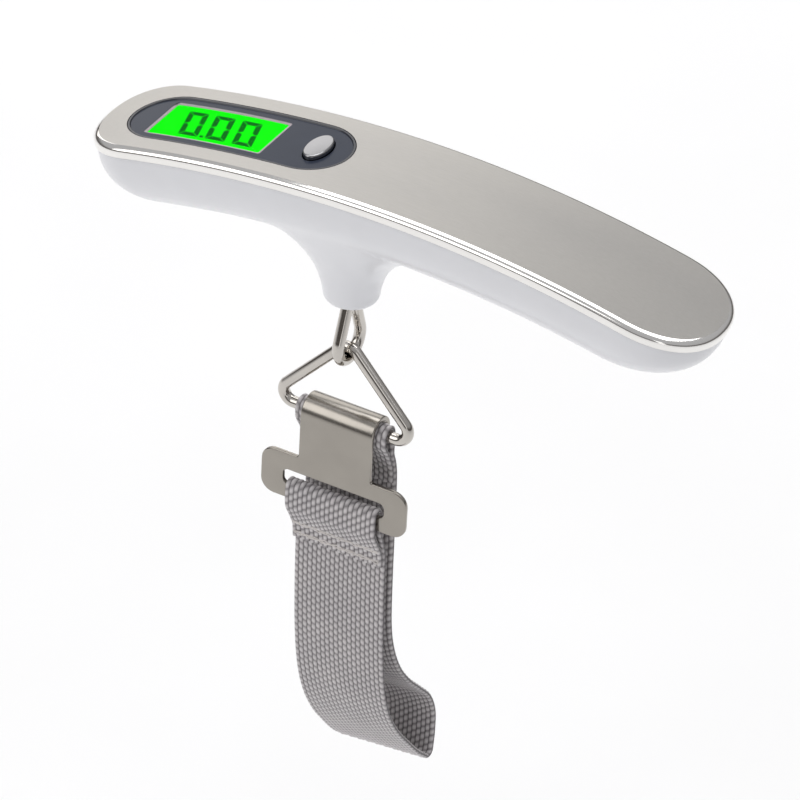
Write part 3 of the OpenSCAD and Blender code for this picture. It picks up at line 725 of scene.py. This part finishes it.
def lower_shell_and_door():
    """Shell with its hollow, neck bore and battery opening, and the lid cut from the same skin."""
    body = shell_body()
    cavity = shell_cavity()
    door = copy_of(body, "battery_lid")
    combine(body, cavity, "DIFFERENCE", keep_other=True)
    combine(body, cylinder("mouth", MOUTH_R, -NECK_DROP - 1, -NECK_DROP + MOUTH_H, NECK_X), "DIFFERENCE")
    combine(body, cylinder("throat", THROAT_R, -NECK_DROP + MOUTH_H - 1, 0, NECK_X), "DIFFERENCE")
    combine(body, arch_block("opening", DOOR_S, DOOR_L, DOOR_W, BELLY_H + 4.5, 19.5, 1.2), "DIFFERENCE")
    edge = arch_block("lid_edge", DOOR_S, DOOR_L - DOOR_GAP, DOOR_W - DOOR_GAP, BELLY_H + 7.5, 19.4, 1.0)
    combine(door, edge, "INTERSECT")
    combine(door, cavity, "DIFFERENCE")
    for y in (-RIB_ASIDE, RIB_ASIDE):
        combine(door, arch_block("rib", DOOR_S, RIB_L, RIB_T, 10.9, 15.6, 0.3, y), "UNION")
    for obj in (body, door):
        obj.data.materials.clear()
        obj.data.materials.append(SHELL_WHITE)
        finish_mesh(obj, 40)
    place(body, "grip", "white_shell", "lower_shell")
    place(door, "battery_door", "white_shell", "battery_door")


# ---- display ----

# depths below the curved top
RIM_DEPTH = 0.02
FACE_DEPTH = 0.28
BED_DEPTH = 1.4
WINDOW_DEPTH = 0.31
SHEET_TOP = 0.52

DIGIT_W = 4.7
DIGIT_H = 9.4
DIGIT_PITCH = 6.5
DIGITS_X = 0.7
DIGITS_Y = -0.3
STROKE = 1.25
NICK = 0.14    # cut between two strokes
SLANT = -0.29  # lean of the digits
DOT = 0.8


def window_outline(s, length, width, r, count):
    """Rounded window about s, with count points."""
    corners = ((1, -1, -90), (1, 1, 0), (-1, 1, 90), (-1, -1, 180))
    path = []
    for cx, cy, a0 in corners:
        path += arc(s + cx * (length / 2 - r), cy * (width / 2 - r), r, a0, 90, 8)
    path.append(path[0])
    pts = np.array(path)
    fine, _ = resample(pts, np.linalg.norm(np.diff(pts, axis=0), axis=1).sum() / count)
    return [tuple(p) for p in fine[:count]]


def matched(inner, outer):
    """Turns the inner outline so that its points face those of the outer one."""
    shift = int(np.argmin([math.hypot(p[0] - outer[0][0], p[1] - outer[0][1]) for p in inner]))
    return inner[shift:] + inner[:shift]


def display_bezel():
    """Dark oval surround with a lighter rim, a window with a stepped frame and a well for the button. The
    frame's ledge carries a painted highlight: pale pinkish grey on the dark plastic.
    """
    outer = stadium_outline(BEZEL_S, BEZEL_L, BEZEL_W)
    face = stadium_outline(BEZEL_S, BEZEL_L - 1.5, BEZEL_W - 1.5)
    n = len(outer)
    window = matched(window_outline(LCD_S, LCD_L + 1.2, LCD_W + 1.2, 0.4, n), outer)
    opening = matched(window_outline(LCD_S, LCD_L, LCD_W, 0.3, n), outer)
    rings = [(outer, BED_DEPTH), (outer, 0.25),
             (stadium_outline(BEZEL_S, BEZEL_L - 0.3, BEZEL_W - 0.3), RIM_DEPTH),
             (stadium_outline(BEZEL_S, BEZEL_L - 1.1, BEZEL_W - 1.1), RIM_DEPTH),
             (face, FACE_DEPTH)]
    rim_rings = len(rings) - 1
    rings += [(between(face, window, k / 10), FACE_DEPTH) for k in range(1, 11)]
    ledge = len(rings) - 1
    rings += [(between(window, opening, 0.12), 0.36), (between(window, opening, 0.85), 0.40),
              (opening, SHEET_TOP), (opening, BED_DEPTH)]
    rings += [(between(opening, outer, k / 6), BED_DEPTH) for k in range(1, 6)]
    rings = [on_arch(outline, h) for outline, h in rings]
    faces = bridge(rings, True)
    # kind 1 is the rim, kind 2 the window ledge, which takes the painted highlight colour
    kinds = [1 if i // n in range(1, rim_rings) else 2 if i // n in range(ledge, ledge + 3) else 0
             for i in range(len(faces))]
    finishes = [BEZEL_DARK, BEZEL_RIM, LEDGE_PAINTED_HIGHLIGHT]
    bezel = new_object("display_frame", flatten(rings), faces, finishes, kinds, sharp=28)
    combine(bezel, oval_block("well", BUTTON_L + 0.5, BUTTON_W + 0.5, -1, 4), "DIFFERENCE")
    finish_mesh(bezel, 28)
    place(bezel, "grip", "bezel_plastic", "display_bezel")


def curved_slab(name, length, width, top, low, materials):
    """Thin sheet that follows the arch under the window."""
    steps = 24
    outline = [(-length / 2 + length * k / steps, -width / 2) for k in range(steps + 1)]
    outline += [(length / 2 - length * k / steps, width / 2) for k in range(steps + 1)]
    rings = [[arch(LCD_S + x, y, h) for x, y in outline] for h in (top, low)]
    n = len(outline)
    faces = bridge(rings, False)
    for k in range(steps):
        a, b, c, d = k, k + 1, n - 2 - k, n - 1 - k
        faces += [(a, b, c, d), (d + n, c + n, b + n, a + n)]
    return new_object(name, flatten(rings), faces, materials)


def lit_display():
    """Green display just under its clear window, with mitred seven-segment zeros."""
    sheet = curved_slab("lcd_sheet", LCD_L + 0.5, LCD_W + 0.5, SHEET_TOP, SHEET_TOP + 0.9, [LCD])
    place(sheet, "grip", "lcd_green", "lcd_panel")
    window = curved_slab("clear_window", LCD_L + 0.9, LCD_W + 0.9, WINDOW_DEPTH, WINDOW_DEPTH + 0.04, [LENS])
    place(window, "grip", "clear_lens", "lcd_window")
    verts, faces = [], []
    half_w, half_h = DIGIT_W / 2, DIGIT_H / 2
    for k in (-1, 0, 1):
        cx, cy = DIGITS_X + k * DIGIT_PITCH, DIGITS_Y
        for bar in zero_segments(half_w, half_h):
            add_segment(verts, faces, [(cx + x, cy + y) for x, y in bar])
    dot = DIGITS_X - DIGIT_PITCH / 2
    left, right = dot - DOT / 2, dot + DOT / 2
    low = DIGITS_Y - half_h
    add_segment(verts, faces, [(left, low), (right, low), (right, low + DOT), (left, low + DOT)])
    digits = new_object("lcd_digits", verts, faces, [DIGITS])
    place(digits, "grip", "lcd_digits", "lcd_segments")


def zero_segments(w, h):
    """Six mitred bars of a nought, round a cell w by h to its outer edge."""
    t, g = STROKE, NICK
    top = [(-w + g, h), (w - g, h), (w - t - g, h - t), (-w + t + g, h - t)]
    side = [(-w, h - g), (-w + t, h - t - g), (-w + t, t / 2), (-w + t / 2, g), (-w, g + 0.1)]
    bars = [top, side, [(-x, y) for x, y in side]]
    return bars + [[(x, -y) for x, y in bar] for bar in bars]


def add_segment(verts, faces, outline):
    """Thin printed bar on the display, leaning with the digits."""
    n = len(outline)
    start = len(verts)
    for depth in (SHEET_TOP - 0.03, SHEET_TOP + 0.05):
        verts += [arch(LCD_S + x + SLANT * y, y, depth) for x, y in outline]
    faces.append(tuple(range(start, start + n)))
    faces.append(tuple(range(start + 2 * n - 1, start + n - 1, -1)))
    faces += [(start + i, start + (i + 1) % n, start + n + (i + 1) % n, start + n + i) for i in range(n)]


BUTTON_SIDES = 72
BUTTON_STEPS = 8     # of its rounded edge, and again of its crown
BUTTON_FOOT = -2.55
BUTTON_ROUND = 0.42
BUTTON_SHOULDER = BUTTON_RISE - 0.62
BUTTON_CROWN = 0.97  # the crown's rings close to this part of the way in


def oval_rings(profile):
    """Rings of the button's oval, long across the grip: (length, width, height) each."""
    matrix = arch_matrix(BUTTON_S)
    rings = []
    for length, width, z in profile:
        ring = []
        for k in range(BUTTON_SIDES):
            a = 2 * math.pi * k / BUTTON_SIDES
            point = Vector((width / 2 * math.cos(a) * MM, length / 2 * math.sin(a) * MM, z * MM))
            ring.append(tuple(c / MM for c in matrix @ point))
        rings.append(ring)
    return rings


def oval_block(name, length, width, low, high):
    """Upright block of the button's outline, from low to high below the top."""
    rings = oval_rings([(length, width, -high), (length, width, -low)])
    return new_object(name, flatten(rings), capped(rings), [BEZEL_DARK])


def power_button():
    """Plated oval button with a crowned face."""
    profile = [(BUTTON_L, BUTTON_W, BUTTON_FOOT), (BUTTON_L, BUTTON_W, BUTTON_SHOULDER)]
    for k in range(1, BUTTON_STEPS + 1):
        a = math.pi / 2 * k / BUTTON_STEPS
        e = BUTTON_ROUND * (1 - math.cos(a))
        profile.append((BUTTON_L - 2 * e, BUTTON_W - 2 * e, BUTTON_SHOULDER + 0.5 * math.sin(a)))
    length, width = BUTTON_L - 2 * BUTTON_ROUND, BUTTON_W - 2 * BUTTON_ROUND
    for k in range(1, BUTTON_STEPS + 1):
        t = k / BUTTON_STEPS * BUTTON_CROWN
        z = BUTTON_RISE - 0.12 + 0.1 * math.sin(math.pi / 2 * t)
        profile.append((length * (1 - t), width * (1 - t), z))
    rings = oval_rings(profile)
    button = new_object("button_cap", flatten(rings), capped(rings), [CHROME], sharp=30)
    place(button, "button", "button_chrome", "power_button")


# ---- eye and ring ----

def hanging_eye():
    """Closed teardrop eye on a round shank."""
    tilt = math.degrees(math.asin((EYE_R - EYE_TOP_R) / (EYE_TOP_Z - EYE_Z)))
    path = arc(0, EYE_Z, EYE_R, 180 - tilt, 180 + 2 * tilt, 72)
    path += arc(0, EYE_TOP_Z, EYE_TOP_R, tilt, 180 - 2 * tilt, 36)
    verts, faces = wire([(NECK_X, y, z) for y, z in path], WIRE_R, 32, (1, 0, 0), True)
    eye = new_object("hanging_eye", verts, faces, [NICKEL], sharp=60)
    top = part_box("load_hanger")[1].z / MM
    shank = cylinder("shank", SHANK_R, EYE_TOP_Z + 0.8, top, NECK_X, 48)
    combine(eye, shank, "UNION")
    eye.data.materials.clear()
    eye.data.materials.append(NICKEL)
    finish_mesh(eye, 50)
    place(eye, "hanger", "nickel_wire", "load_hanger")


def triangle_ring():
    """Triangle of one wire, its apex in the eye and its base bar through webbing and hook."""
    drop = RING_H - 2 * RING_BEND
    lean = math.degrees(math.atan2(RING_W / 2, drop))
    path = (arc(RING_W / 2, BAR_Z + RING_BEND, RING_BEND, -90, 90 + lean, 24)
            + arc(0, APEX_Z - RING_BEND, RING_BEND, lean, 180 - 2 * lean, 20)
            + arc(-RING_W / 2, BAR_Z + RING_BEND, RING_BEND, 180 - lean, 90 + lean, 24))
    verts, faces = wire([(NECK_X + x, 0, z) for x, z in path], WIRE_R, 36, (0, 1, 0), True)
    ring = new_object("ring_wire", verts, faces, [NICKEL], sharp=60)
    place(ring, "ring", "nickel_wire", "triangle_ring")


# ---- hook plate ----

CURL_R = CURL_IN + PLATE_T / 2
CURL_LENGTH = math.pi * CURL_R
CURL_CUTS = 36
EDGE_ROUND = 0.28
WING_CORNER = 3.3
LOW_CORNER = 3.2
INNER_CORNER = 0.6
HOOK_CORNER = 0.5
SLOT_CORNER = 1.2


def rounded_loop(points, radii, steps=8):
    """Closed outline with each corner rounded by its own radius."""
    loop = []
    n = len(points)
    for i, (p, r) in enumerate(zip(points, radii)):
        p = np.array(p, float)
        u = np.array(points[i - 1], float) - p
        v = np.array(points[(i + 1) % n], float) - p
        u /= np.linalg.norm(u)
        v /= np.linalg.norm(v)
        half = math.acos(max(-1, min(1, float(u @ v)))) / 2
        reach = r / math.tan(half)
        centre = p + (u + v) / np.linalg.norm(u + v) * r / math.sin(half)
        start, end = p + u * reach - centre, p + v * reach - centre
        a0 = math.atan2(start[1], start[0])
        sweep = (math.atan2(end[1], end[0]) - a0 + math.pi) % (2 * math.pi) - math.pi
        for k in range(steps + 1):
            a = a0 + sweep * k / steps
            loop.append(tuple(centre + r * np.array([math.cos(a), math.sin(a)])))
    return loop


def flat_plate(name, loops, thickness, rounding):
    """Plate with holes in the XY plane, its edges rounded, as a mesh in millimetres."""
    curve = bpy.data.curves.new(name, "CURVE")
    curve.dimensions = "2D"
    curve.fill_mode = "BOTH"
    curve.extrude = thickness / 2 - rounding
    curve.bevel_depth = rounding
    curve.bevel_resolution = 3
    curve.offset = -rounding
    for loop in loops:
        spline = curve.splines.new("POLY")
        spline.points.add(len(loop) - 1)
        for point, (x, y) in zip(spline.points, loop):
            point.co = (x, y, 0, 1)
        spline.use_cyclic_u = True
    holder = bpy.data.objects.new(name, curve)
    scene.collection.objects.link(holder)
    bpy.context.view_layer.update()
    mesh = bpy.data.meshes.new_from_object(holder.evaluated_get(bpy.context.evaluated_depsgraph_get()))
    bpy.data.objects.remove(holder)
    return mesh


def hook_plate():
    """Nickel-plated sheet: rolled hook over the bar, two wings and a slot for the webbing."""
    h, w = HOOK_W / 2, WING_W / 2
    top, wing, low = CURL_LENGTH, -WING_DROP, -WING_DROP - WING_H
    outline = rounded_loop(
        [(-h, top), (-h, wing), (-w, wing), (-w, low), (w, low), (w, wing), (h, wing), (h, top)],
        [HOOK_CORNER, INNER_CORNER, WING_CORNER, LOW_CORNER,
         LOW_CORNER, WING_CORNER, INNER_CORNER, HOOK_CORNER])
    s = SLOT_W / 2
    slot_top, slot_low = wing - SLOT_DROP, wing - SLOT_DROP - SLOT_H
    slot = rounded_loop([(-s, slot_low), (s, slot_low), (s, slot_top), (-s, slot_top)], [SLOT_CORNER] * 4)
    mesh = flat_plate("plate", [outline, slot], PLATE_T, EDGE_ROUND)
    work = bmesh.new()
    work.from_mesh(mesh)
    bmesh.ops.remove_doubles(work, verts=work.verts, dist=0.002)
    cuts = [CURL_LENGTH * k / CURL_CUTS for k in range(CURL_CUTS)] + [low + 2.2 * k for k in range(1, 10)]
    for v in cuts:
        bmesh.ops.bisect_plane(work, geom=work.verts[:] + work.edges[:] + work.faces[:],
                               plane_co=(0, v, 0), plane_no=(0, 1, 0))
    for v in work.verts:
        x, along, off = v.co
        if along > 0:
            a = along / CURL_R
            r = CURL_R + off
            v.co = (x + NECK_X, -r * math.cos(a), BAR_Z + r * math.sin(a))
        else:
            v.co = (x + NECK_X, -CURL_R - off, BAR_Z + along)
        v.co *= MM
    for face in work.faces:
        face.smooth = True
    work.to_mesh(mesh)
    work.free()
    mesh.materials.clear()
    mesh.materials.append(PLATE)
    plate = bpy.data.objects.new("plate_sheet", mesh)
    scene.collection.objects.link(plate)
    finish_mesh(plate, 45)
    place(plate, "hook", "nickel_plate", "hook_plate")


# ---- webbing ----

COLUMNS = 20        # ribs across the webbing
COLUMN = WEB_W / COLUMNS
ROW = 0.9           # length of one pip, and of the gap after it
PER_COLUMN = 5      # mesh steps across a rib
ROW_STEP = 0.3      # mesh step along the webbing
RELIEF = 0.22
PIP_LEAN = 1.5
BODY_T = WEB_T - 2 * RELIEF
SELVEDGE = 0.5      # the edges are rounded over this width
SELVEDGE_FADE = 0.35

SAG_TOP = -122.0    # below this height one side of the toe sags
SAG_RUN = 30.0
SAG_DROP = 2.2

STITCH = 4.4
STITCH_INSET = 0.6
STITCH_ROWS = ((-85.6, 0.42), (-88.7, 0.26))  # height and sway of each row
STRANDS = 3
THREAD_R = 0.17

SLEEVE_R = WIRE_R + 0.05 + WEB_T / 2
TOE = (25.75, -156.0)
TOE_R = 1.3
MEET = 8       # the two pieces meet this far along the webbing after the toe
FLAP_L = 16    # length of the flap that the stitches may lie on


def strap_route():
    """Middle line of the webbing in the YZ plane: sewn end, sleeve, back, toe, front, hem and flap."""
    sewn = [(2.2, BAR_Z - 13), (1.9, BAR_Z - 9.5), (0.2, BAR_Z - 5.2), (-1.7, BAR_Z - 2)]
    sleeve = arc(0, BAR_Z, SLEEVE_R, 200, -220, 11)
    back = [(1.95, BAR_Z - 3), (2, BAR_Z - 5.5), (3.2, BAR_Z - 9), (3.75, BAR_Z - 14), (4, -84),
            (4.2, -96), (4.8, -108), (6.6, -116), (10, -123.4), (14.6, -129.6), (19.8, -135),
            (24.6, -140.2), (27.2, -145.8), (27.5, -151.4), (27.25, -154.6)]
    toe = arc(TOE[0], TOE[1], TOE_R, 0, -144, 4)
    front = [(23.5, -155.6), (20.6, -152.9), (15.8, -147.4), (10.6, -141), (6.4, -134), (3.6, -126),
             (1.9, -115), (1, -101)]
    hem = [(0.7, HEM_SPLIT), (0.4, -87), (-0.7, -83.4), (-1.9, -80.4), (-2.2, BOTTOM_BAR - 2)]
    bend = arc(-CURL_IN - PLATE_T / 2, BOTTOM_BAR - 0.2, 1.2, 0, 180, 5)
    flap = [(-4.7, BOTTOM_BAR - 2), (-4.5, -80), (-3.25, -82.4), (-1.95, -84.8), (-1, -87),
            (-0.66, -90)]
    return sewn + sleeve + back + toe + front + hem + bend + flap


def weave(u, v):
    """Height, 0 to 1, of the woven face at u across and v along: staggered, leaning pips on ribs."""
    column = np.floor(u / COLUMN)
    across = u / COLUMN - column - 0.5
    rib = np.abs(np.sin(math.pi * u / COLUMN)) ** 0.7
    pip = 0.5 + 0.5 * np.cos(math.pi * (v / ROW + column) + PIP_LEAN * across)
    return rib * (0.12 + 0.88 * pip ** 0.75)


def sag(x, z):
    """How far the toe's display side hangs below its plain side."""
    t = np.clip((SAG_TOP - z) / SAG_RUN, 0, 1)
    return SAG_DROP * t * t * (3 - 2 * t) * (NECK_X + WEB_W / 2 - x) / WEB_W


def strap_piece(name, route, along):
    """Woven strip along a route: both faces in relief, rounded selvedges."""
    across = np.linspace(0, WEB_W, COLUMNS * PER_COLUMN + 1)
    d = np.gradient(route, axis=0)
    d /= np.linalg.norm(d, axis=1)[:, None]
    normal = np.stack([-d[:, 1], d[:, 0]], 1)
    u, v = np.meshgrid(across, along)
    edge = np.minimum(u, WEB_W - u)
    body = BODY_T / 2 * np.sqrt(np.clip(1 - (1 - np.clip(edge / SELVEDGE, 0, 1)) ** 2, 0.04, 1))
    rows, cols = u.shape
    verts = []
    depth = []
    for side, shift in ((1, 0.0), (-1, ROW)):
        height = weave(u, v + shift)
        fade = np.clip(edge / SELVEDGE_FADE, 0, 1)
        off = side * (body + RELIEF * height * fade)
        y = route[:, 0][:, None] + off * normal[:, 0][:, None]
        z = route[:, 1][:, None] + off * normal[:, 1][:, None]
        x = NECK_X - WEB_W / 2 + u
        verts.append(np.stack([x, y, z - sag(x, z)], 2).reshape(-1, 3))
        depth.append(height.ravel())
    points = np.concatenate(verts)
    index = np.arange(rows * cols).reshape(rows, cols)
    quads = np.stack([index[:-1, :-1], index[:-1, 1:], index[1:, 1:], index[1:, :-1]], 2).reshape(-1, 4)
    back_quads = quads[:, ::-1] + rows * cols
    rim = np.concatenate([index[0, :], index[1:, -1], index[-1, :-1][::-1], index[1:-1, 0][::-1]])
    nxt = np.roll(rim, -1)
    rim_quads = np.stack([rim, rim + rows * cols, nxt + rows * cols, nxt], 1)
    faces = np.concatenate([quads, back_quads, rim_quads])
    strip = new_object(name, points.tolist(), faces.tolist(), [WEBBING], sharp=75)
    # the height stored here also drives the painted shade between the yarns in the webbing material
    attribute = strip.data.attributes.new("yarn_and_gap_shade", "FLOAT", "POINT")
    attribute.data.foreach_set("value", np.concatenate(depth).astype(np.float32))
    return strip


def webbing():
    """The strap in two pieces that meet just above the toe."""
    route, along = resample(catmull(strap_route(), 12), ROW_STEP)
    toe_row = int(np.argmin(np.linalg.norm(route - np.array(TOE), axis=1)))
    meet = toe_row + int(MEET / ROW_STEP)
    back = strap_piece("webbing_back", route[:meet + 1], along[:meet + 1])
    place(back, "strap", "grey_webbing", "strap_loop")
    front = strap_piece("webbing_front", route[meet:], along[meet:])
    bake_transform(front)
    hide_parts("strap_hem")
    hem_stitches(route[-int(FLAP_L / ROW_STEP):])


def hem_stitches(flap):
    """Two rows of wavy cream lockstitch across the flap, each of three strands."""
    order = np.argsort(flap[:, 1])
    heights, fronts = flap[order, 1], flap[order, 0]
    left, right = NECK_X - WEB_W / 2 + STITCH_INSET, NECK_X + WEB_W / 2 - STITCH_INSET
    x = np.linspace(left, right, 121)
    for row, (z0, sway) in enumerate(STITCH_ROWS):
        verts, faces = [], []
        for strand in range(STRANDS):
            phase = 2.1 * strand + row
            z = z0 + sway * np.sin(2 * math.pi * x / STITCH + phase) + 0.18 * np.sin(x * 0.55 + phase * 2)
            rise = 0.10 - 0.10 * np.cos(4 * math.pi * x / STITCH + phase)
            y = np.interp(z, heights, fronts) - WEB_T / 2 + rise
            tube_verts, tube_faces = wire(np.stack([x, y, z], 1), THREAD_R, 8, (0, 1, 0), False)
            faces += [tuple(i + len(verts) for i in face) for face in tube_faces]
            verts += tube_verts
        stitches = new_object("hem_stitches_%d" % (row + 1), verts, faces, [THREAD], sharp=60)
        place(stitches, "hook", "grey_webbing")


# ---- floor, light and camera ----

CAMERA_TURN = (28.26, 34.78, 3.08)  # degrees to the right of the front, above it, and of roll
CAMERA_DISTANCE = 1.5
CAMERA_SHIFT = (-0.0023, -0.0382)   # of the point aimed at, right and up in the picture
LENS_LENGTH = 330.7
SENSOR = 36

FLOOR_DROP = 0.15                   # the floor lies this far below the model
FLOOR_HALF = 6.0

LIGHTS = (                          # name, place, aim, size, power, colour
    ("key", (-1.0, -1.3, 1.15), (0, 0, -0.05), (1.6, 1.3), 10.5, (1.0, 0.99, 0.975)),
    ("front", (1.1, -1.5, 0.25), (0, 0, -0.08), (0.35, 1.2), 1.2, (1, 1, 1)),
    ("back_left", (-1.3, 1.5, 0.75), (0, 0, 0), (1.7, 1.2), 7.5, (1.0, 0.985, 0.96)),
    ("floor_wash", (0, 0.6, 1.9), (0, 0.6, 0), (2.2, 1.6), 27, (1, 1, 1)),
)


def camera():
    """Looks at the scale from the front, from above and a little to the right."""
    azimuth, elevation, roll = (math.radians(a) for a in CAMERA_TURN)
    back = Vector((math.sin(azimuth) * math.cos(elevation), -math.cos(azimuth) * math.cos(elevation),
                   math.sin(elevation)))
    level = Vector((0, 0, 1)).cross(back).normalized()
    upright = back.cross(level)
    right = math.cos(roll) * level + math.sin(roll) * upright
    up = back.cross(right)
    aim = CAMERA_SHIFT[0] * right + CAMERA_SHIFT[1] * up
    eye = aim + CAMERA_DISTANCE * back
    data = bpy.data.cameras.new("camera")
    data.lens = LENS_LENGTH
    data.sensor_width = SENSOR
    data.clip_end = 20
    obj = bpy.data.objects.new("camera", data)
    rotation = Matrix((right, up, back)).transposed().to_4x4()
    obj.matrix_world = Matrix.Translation(eye) @ rotation
    scene.collection.objects.link(obj)
    scene.camera = obj


def area_light(name, place_at, look_at, size, power, colour):
    """Soft rectangular light at one point, turned towards another."""
    data = bpy.data.lights.new(name, "AREA")
    data.shape = "RECTANGLE"
    data.size, data.size_y = size
    data.energy = power
    data.color = colour
    obj = bpy.data.objects.new(name, data)
    direction = Vector(look_at) - Vector(place_at)
    obj.location = place_at
    obj.rotation_euler = direction.to_track_quat("-Z", "Y").to_euler()
    scene.collection.objects.link(obj)


def sky():
    """Soft surround, darker towards the horizon."""
    world = bpy.data.worlds.new("studio")
    scene.world = world
    world.use_nodes = True
    tree = world.node_tree
    source = tree.nodes.new("ShaderNodeTexCoord")
    split = tree.nodes.new("ShaderNodeSeparateXYZ")
    tree.links.new(source.outputs["Generated"], split.inputs["Vector"])
    glow = ramp(tree, split.outputs["Z"], [(0.0, (0.10, 0.09, 0.085)), (0.14, (0.14, 0.135, 0.13)),
                                           (0.34, (0.42, 0.42, 0.43)), (1.0, (0.46, 0.46, 0.47))])
    tree.links.new(glow, tree.nodes["Background"].inputs["Color"])


def studio():
    """Plain pale floor well below the scale, the sky and four soft lights."""
    mat, tree, shader = new_material("floor")
    shader.inputs["Roughness"].default_value = 0.9
    grain = noise(tree, coordinates(tree), 0.01, 2.0)
    white = two_tone(tree, grain, (0.93, 0.93, 0.93), (0.95, 0.95, 0.95))
    tree.links.new(white, shader.inputs["Base Color"])
    low = cad_box[0][2] - FLOOR_DROP
    corners = [(x * FLOOR_HALF, y * FLOOR_HALF, low) for x, y in ((-1, -1), (1, -1), (1, 1), (-1, 1))]
    mesh = bpy.data.meshes.new("floor")
    mesh.from_pydata(corners, [], [(0, 1, 2, 3)])
    mesh.materials.append(mat)
    floor = bpy.data.objects.new("floor", mesh)
    scene.collection.objects.link(floor)
    sky()
    for light in LIGHTS:
        area_light(*light)
    scene.view_settings.view_transform = "Standard"
    scene.view_settings.look = "None"


def finish_cad_nodes():
    """Every CAD node takes the finish of its material slot."""
    for entry in frame["record"]["subparts"]:
        mesh = frame["nodes"][entry["node"]].data
        mesh.materials.clear()
        mesh.materials.append(FINISHES[entry["material_slot"]])


camera()
studio()
finish_cad_nodes()
steel_cover()
lower_shell_and_door()
display_bezel()
lit_display()
power_button()
hanging_eye()
triangle_ring()
hook_plate()
webbing()
